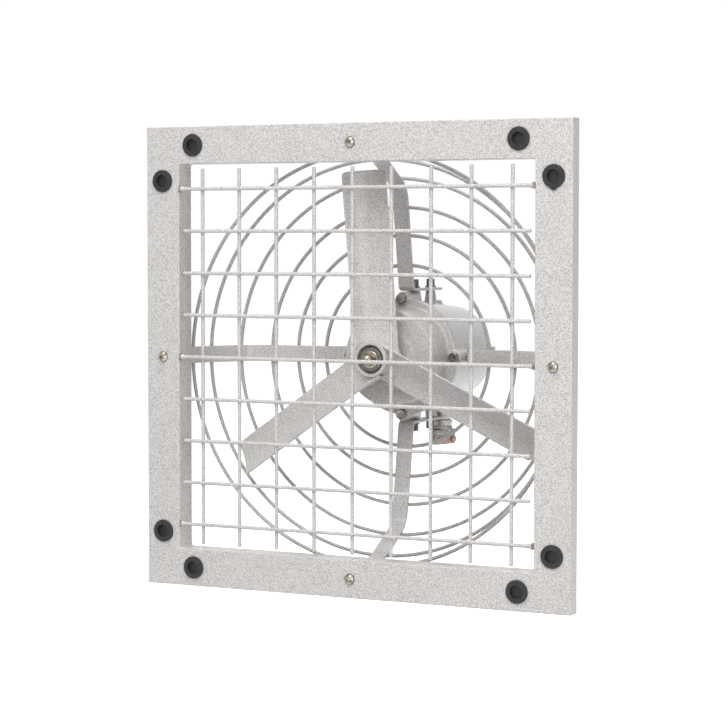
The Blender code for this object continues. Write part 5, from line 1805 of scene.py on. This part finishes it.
@dataclass(frozen=True)
class CableGland:
    """Cable gland under the motor: body, ribbed nut, saddle, clamp and two clamp screws."""

    motor: Motor
    bore: float = 0.0055
    body: float = 0.0105
    body_bottom: float = 0.0745
    neck_inset: float = 0.0010
    neck_round: float = 0.0002
    collar_height: float = 0.0070
    collar_slope: float = 0.0005
    collar_round: float = 0.0004
    nut: float = 0.0118
    nut_bottom: float = 0.0855
    ribs: int = 36
    rib_depth: float = 0.0007
    rib_width: float = 0.0009
    rib_edge: float = 0.00015
    rib_length_share: float = 0.95
    rib_place: float = 2.45
    rib_sink_share: float = 0.05
    nut_foot_inset: float = 0.0004
    nut_foot_height: float = 0.0012
    nut_round: float = 0.0006
    nut_top_round: float = 0.0007
    groove_depth: float = 0.0006
    groove_places: tuple[float, float] = (2, 1.7)
    turn: float = math.radians(74)
    block_length: float = 0.035
    block_width: float = 0.013
    block_edge: float = 0.0005
    block_corner_share: float = 0.30
    block_corner_steps: int = 6
    block_angle: float = math.radians(60)
    saddle_height: float = 0.0060
    clamp_height: float = 0.0100
    cable_bore: float = 0.0040
    screw_spacing: float = 0.024
    screw_head: float = 0.0036
    screw_head_height: float = 0.0018
    screw_head_edge: tuple[tuple[float, float], ...] = ((0.0008, 0), (0.0002, 0.0004), (0, 0.0009))
    screw_radius: float = 0.0020
    screw_length: float = 0.010

    def hung(self) -> Matrix:
        """Return the matrix that hangs what is built along Y under the motor."""
        return outwards(self.motor.entry_depth)

    def build(self, shop: Workshop) -> None:
        """Make the gland from the motor's entry down."""
        paints = shop.paints
        top = self.motor.entry_bottom + SEAT_GAP
        neck = self.body - self.neck_inset
        collar = top + self.collar_height
        body = rounded(
            (
                (self.bore, self.body_bottom, 0),
                (neck, self.body_bottom, self.neck_round),
                (neck, collar + self.collar_slope, 0),
                (self.body, collar, EASED_EDGE),
                (self.body, top, self.collar_round),
                (self.bore, top, 0),
            )
        )
        mesh = moved(turned("gland_body", body, TURNED_SIDES), self.hung())
        shop.hand_over("gland_body_turned", mesh, ("gland_body",), paints.nickel)
        self.build_nut(shop)
        bottom = self.nut_bottom + SEAT_GAP
        saddle_end = bottom + self.saddle_height
        self.block(shop, "gland_saddle", bottom, saddle_end, paints.grey_zinc)
        clamp_top = saddle_end + SEAT_GAP
        clamp_end = clamp_top + self.clamp_height
        self.block(shop, "gland_clamp", clamp_top, clamp_end, paints.copper)
        self.build_screws(shop, (clamp_top + clamp_end) / 2)

    def build_nut(self, shop: Workshop) -> None:
        """Turn the nut and set grip ribs round it."""
        top = self.body_bottom + SEAT_GAP
        low = self.nut_bottom
        inner = self.nut - self.rib_depth
        third = (low - top) / 3
        groove = inner - self.groove_depth
        groove_low, groove_high = (top + place * third for place in self.groove_places)
        outline = rounded(
            (
                (self.bore, low, 0),
                (inner - self.nut_foot_inset, low, self.nut_round),
                (inner, low - self.nut_foot_height, 0),
                (inner, groove_low, 0),
                (groove, groove_low - EASED_EDGE, 0),
                (groove, groove_high, 0),
                (inner, groove_high - EASED_EDGE, 0),
                (self.nut, top + third, self.nut_round),
                (self.nut, top, self.nut_top_round),
                (self.bore, top, 0),
            )
        )
        core = turned("nut", outline, NUT_SIDES)

        def rib(shape: BMesh) -> None:
            """Add one rib with eased edges."""
            size = (self.rib_width, third * self.rib_length_share, self.rib_depth * 2)
            sunk = inner - self.rib_depth * self.rib_sink_share
            place = Matrix.Translation((0, top + self.rib_place * third, sunk))
            bmesh.ops.create_cube(shape, size=1, matrix=place @ Matrix.Diagonal((*size, 1)))
            bmesh.ops.bevel(shape, geom=shape.edges, offset=self.rib_edge, segments=1, affect="EDGES")

        ribs = shop.round.bake(
            "ribs", mesh_from("rib", rib), count=self.ribs, turn=(0, FULL_TURN / self.ribs, 0),
            material=shop.paints.nickel,
        )
        mesh = moved(joined("gland_nut", (core, ribs)), self.hung())
        shop.hand_over("gland_nut_ribbed", mesh, ("gland_nut",), shop.paints.nickel)

    def block(
        self, shop: Workshop, name: str, top: float, bottom: float, material: Material
    ) -> None:
        """Cast a block of the clamp with rounded ends and the cable's bore."""
        half_length, half_width = self.block_length / 2, self.block_width / 2
        corner = self.block_width * self.block_corner_share
        points = []
        for x_sign, z_sign, start in ((1, 1, 0), (-1, 1, 1), (-1, -1, 2), (1, -1, 3)):
            centre = Vector((x_sign * (half_length - corner), z_sign * (half_width - corner)))
            angle = start * QUARTER_TURN
            points += arc(centre, corner, angle, (start + 1) * QUARTER_TURN, self.block_corner_steps)
        count = len(points)
        angles = [math.atan2(p.y, p.x) for p in points]
        bore = [Vector((math.cos(angle), math.sin(angle))) * self.cable_bore for angle in angles]

        def build(shape: BMesh) -> None:
            """Add the outer wall, the bore and the two faces between them."""
            outer = [[shape.verts.new((p.x, p.y, -level)) for p in points] for level in (top, bottom)]
            inner = [[shape.verts.new((p.x, p.y, -level)) for p in bore] for level in (top, bottom)]
            for i in range(count):
                j = (i + 1) % count
                shape.faces.new((outer[0][i], outer[0][j], outer[1][j], outer[1][i]))
                shape.faces.new((inner[0][j], inner[0][i], inner[1][i], inner[1][j]))
                for level in (0, 1):
                    shape.faces.new((outer[level][i], outer[level][j], inner[level][j], inner[level][i]))

        mesh = with_modifiers(mesh_from(name, build), (eased(self.block_edge, 3, self.block_angle),))
        smoothed(mesh)
        moved(mesh, self.turned_place())
        shop.hand_over(f"{name}_cast", mesh, (name,), material)

    def turned_place(self) -> Matrix:
        """Return the matrix that turns the clamp about the cable's line."""
        place = Matrix.Translation((0, self.motor.entry_depth + FRONT_Y, 0))
        return place @ Matrix.Rotation(self.turn, 4, "Z")

    def build_screws(self, shop: Workshop, depth: float) -> None:
        """Make the two clamp screws."""
        seat = -self.block_width / 2 - SEAT_GAP
        front = seat - self.screw_head_height
        shank, head = self.screw_radius, self.screw_head
        levels = [(seat + self.screw_length, shank), (seat, shank), (seat, head)]
        levels += [(front + height, head - inset) for height, inset in self.screw_head_edge]
        parts = []
        for side in (-1, 1):
            place = Matrix.Translation((side * self.screw_spacing / 2, 0, -depth))
            parts.append(moved(shaped("clamp_screw", levels, 32), place))
        mesh = moved(joined("clamp_screws", parts), self.turned_place())
        nodes = ("gland_screw_front", "gland_screw_rear")
        shop.hand_over("clamp_screws", mesh, nodes, shop.paints.copper)


@dataclass(frozen=True)
class Softbox:
    """Lamp with a flat face that looks at the fan's middle."""

    name: str
    azimuth: float
    elevation: float
    distance: float
    width: float
    height: float
    power: float

    def build(self) -> None:
        """Hang the softbox; its azimuth runs from the fan's front to its right, in degrees."""
        around, up = math.radians(self.azimuth), math.radians(self.elevation)
        back = Vector((math.sin(around) * math.cos(up), -math.cos(around) * math.cos(up), math.sin(up)))
        light = bpy.data.lights.new(self.name, "AREA")
        light.shape = "RECTANGLE"
        light.size = self.width
        light.size_y = self.height
        light.energy = self.power
        thing = linked(self.name, light)
        thing.location = back * self.distance
        thing.rotation_euler = back.to_track_quat("Z", "Y").to_euler()


@dataclass(frozen=True)
class Studio:
    """Pale floor, plain soft light and the photograph's camera."""

    target: Vector = field(default_factory=lambda: Vector((0.01778, -0.016, 0.00358)))
    azimuth: float = math.radians(26.954)
    elevation: float = math.radians(2.914)
    roll: float = math.radians(0.059)
    distance: float = 2.3533
    lens: float = 113.62
    sensor: float = 36.0
    image_width: float = 728
    image_height: float = 720
    centre_x: float = 365.19
    centre_y: float = 358.51
    floor_height: float = -0.2452
    floor_size: float = 12.0
    ambient: float = 0.20
    lamps: tuple[Softbox, ...] = (
        Softbox("front_softbox", 0, 46, 3.0, 1.6, 1.6, 58),
        Softbox("strip_softbox", 54, 5, 2.2, 1.0, 1.8, 21),
        Softbox("top_softbox", 0, 80, 2.6, 2.0, 2.0, 30),
    )
    paper: str = "#ffffff"
    floor_white: str = "#c2c2c2"
    glow: float = 0.85
    backdrop: float = 1.03

    def build(self) -> None:
        """Set up the view, the camera, the lights and the floor."""
        bpy.context.scene.view_settings.view_transform = "Standard"
        self.build_camera()
        self.build_world()
        for lamp in self.lamps:
            lamp.build()
        self.build_floor()

    def build_camera(self) -> None:
        """Place the camera where the photograph was taken from."""
        across, up = math.cos(self.elevation), math.sin(self.elevation)
        back = Vector((math.sin(self.azimuth) * across, -math.cos(self.azimuth) * across, up))
        camera = bpy.data.cameras.new("photo_camera")
        camera.lens = self.lens
        camera.sensor_width = self.sensor
        camera.shift_x = -(self.centre_x - self.image_width / 2) / self.image_width
        camera.shift_y = (self.centre_y - self.image_height / 2) / self.image_width
        thing = linked("photo_camera", camera)
        thing.location = self.target + back * self.distance
        turn = Matrix.Rotation(self.roll, 3, back) @ back.to_track_quat("Z", "Y").to_matrix()
        thing.rotation_euler = turn.to_euler()
        bpy.context.scene.camera = thing

    def build_world(self) -> None:
        """Light the fan evenly, and show white paper to the eye and in the metal."""
        world = bpy.data.worlds.new("studio")
        bpy.context.scene.world = world
        world.use_nodes = True
        tree = world.node_tree
        tree.nodes.clear()
        path = add_node(tree, "ShaderNodeLightPath")
        seen = path.outputs["Is Camera Ray"]
        for ray in ("Is Glossy Ray", "Is Transmission Ray"):
            either = add_node(tree, "ShaderNodeMath", {0: seen, 1: path.outputs[ray]}, operation="MAXIMUM")
            seen = either.outputs[0]
        paper = linear(self.paper)
        soft = add_node(tree, "ShaderNodeBackground", {"Color": paper, "Strength": self.ambient})
        white = add_node(tree, "ShaderNodeBackground", {"Color": paper, "Strength": self.backdrop})
        mixed = add_node(tree, "ShaderNodeMixShader", {0: seen, 1: soft.outputs[0], 2: white.outputs[0]})
        add_node(tree, "ShaderNodeOutputWorld", {"Surface": mixed.outputs[0]})

    def build_floor(self) -> None:
        """Lay a white paper floor that keeps the fan's soft shadow."""
        half = self.floor_size / 2
        corners = [(x * half, y * half, self.floor_height) for x, y in ((-1, -1), (1, -1), (1, 1), (-1, 1))]
        mesh = bpy.data.meshes.new("paper_floor")
        mesh.from_pydata(corners, [], [(0, 1, 2, 3)])
        surface = Surface("white_paper")
        tree = surface.tree
        path = surface.node("ShaderNodeLightPath")
        matt = surface.node("ShaderNodeBsdfDiffuse", {"Color": linear(self.floor_white)})
        paper = surface.node("ShaderNodeBsdfDiffuse", {"Color": linear(self.paper)})
        glow = surface.node("ShaderNodeEmission", {"Color": linear(self.paper), "Strength": self.glow})
        bright = surface.node("ShaderNodeAddShader", {0: paper.outputs[0], 1: glow.outputs[0]})
        seen = surface.node(
            "ShaderNodeMath",
            {0: path.outputs["Is Camera Ray"], 1: path.outputs["Is Glossy Ray"]},
            operation="MAXIMUM",
        )
        mixed = surface.node(
            "ShaderNodeMixShader", {0: seen.outputs[0], 1: matt.outputs[0], 2: bright.outputs[0]}
        )
        tree.links.new(mixed.outputs[0], tree.nodes["Material Output"].inputs["Surface"])
        mesh.materials.append(surface.material)
        floor = linked("paper_floor", mesh)


def main() -> None:
    """Build the studio, then the fan from the wall frame to the cable gland."""
    logging.basicConfig(level=logging.INFO, format="%(name)s: %(message)s")
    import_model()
    Studio().build()
    shop = Workshop(Paintbox())
    frame = WallFrame()
    cage = GuardCage(frame)
    impeller = Impeller()
    motor = Motor(cage)
    for assembly in (
        frame, FixingPlugs(frame), FrontGrille(frame), cage,
        impeller, Drive(impeller), motor, CableGland(motor),
    ):
        assembly.build(shop)


if __name__ == "__main__":
    main()
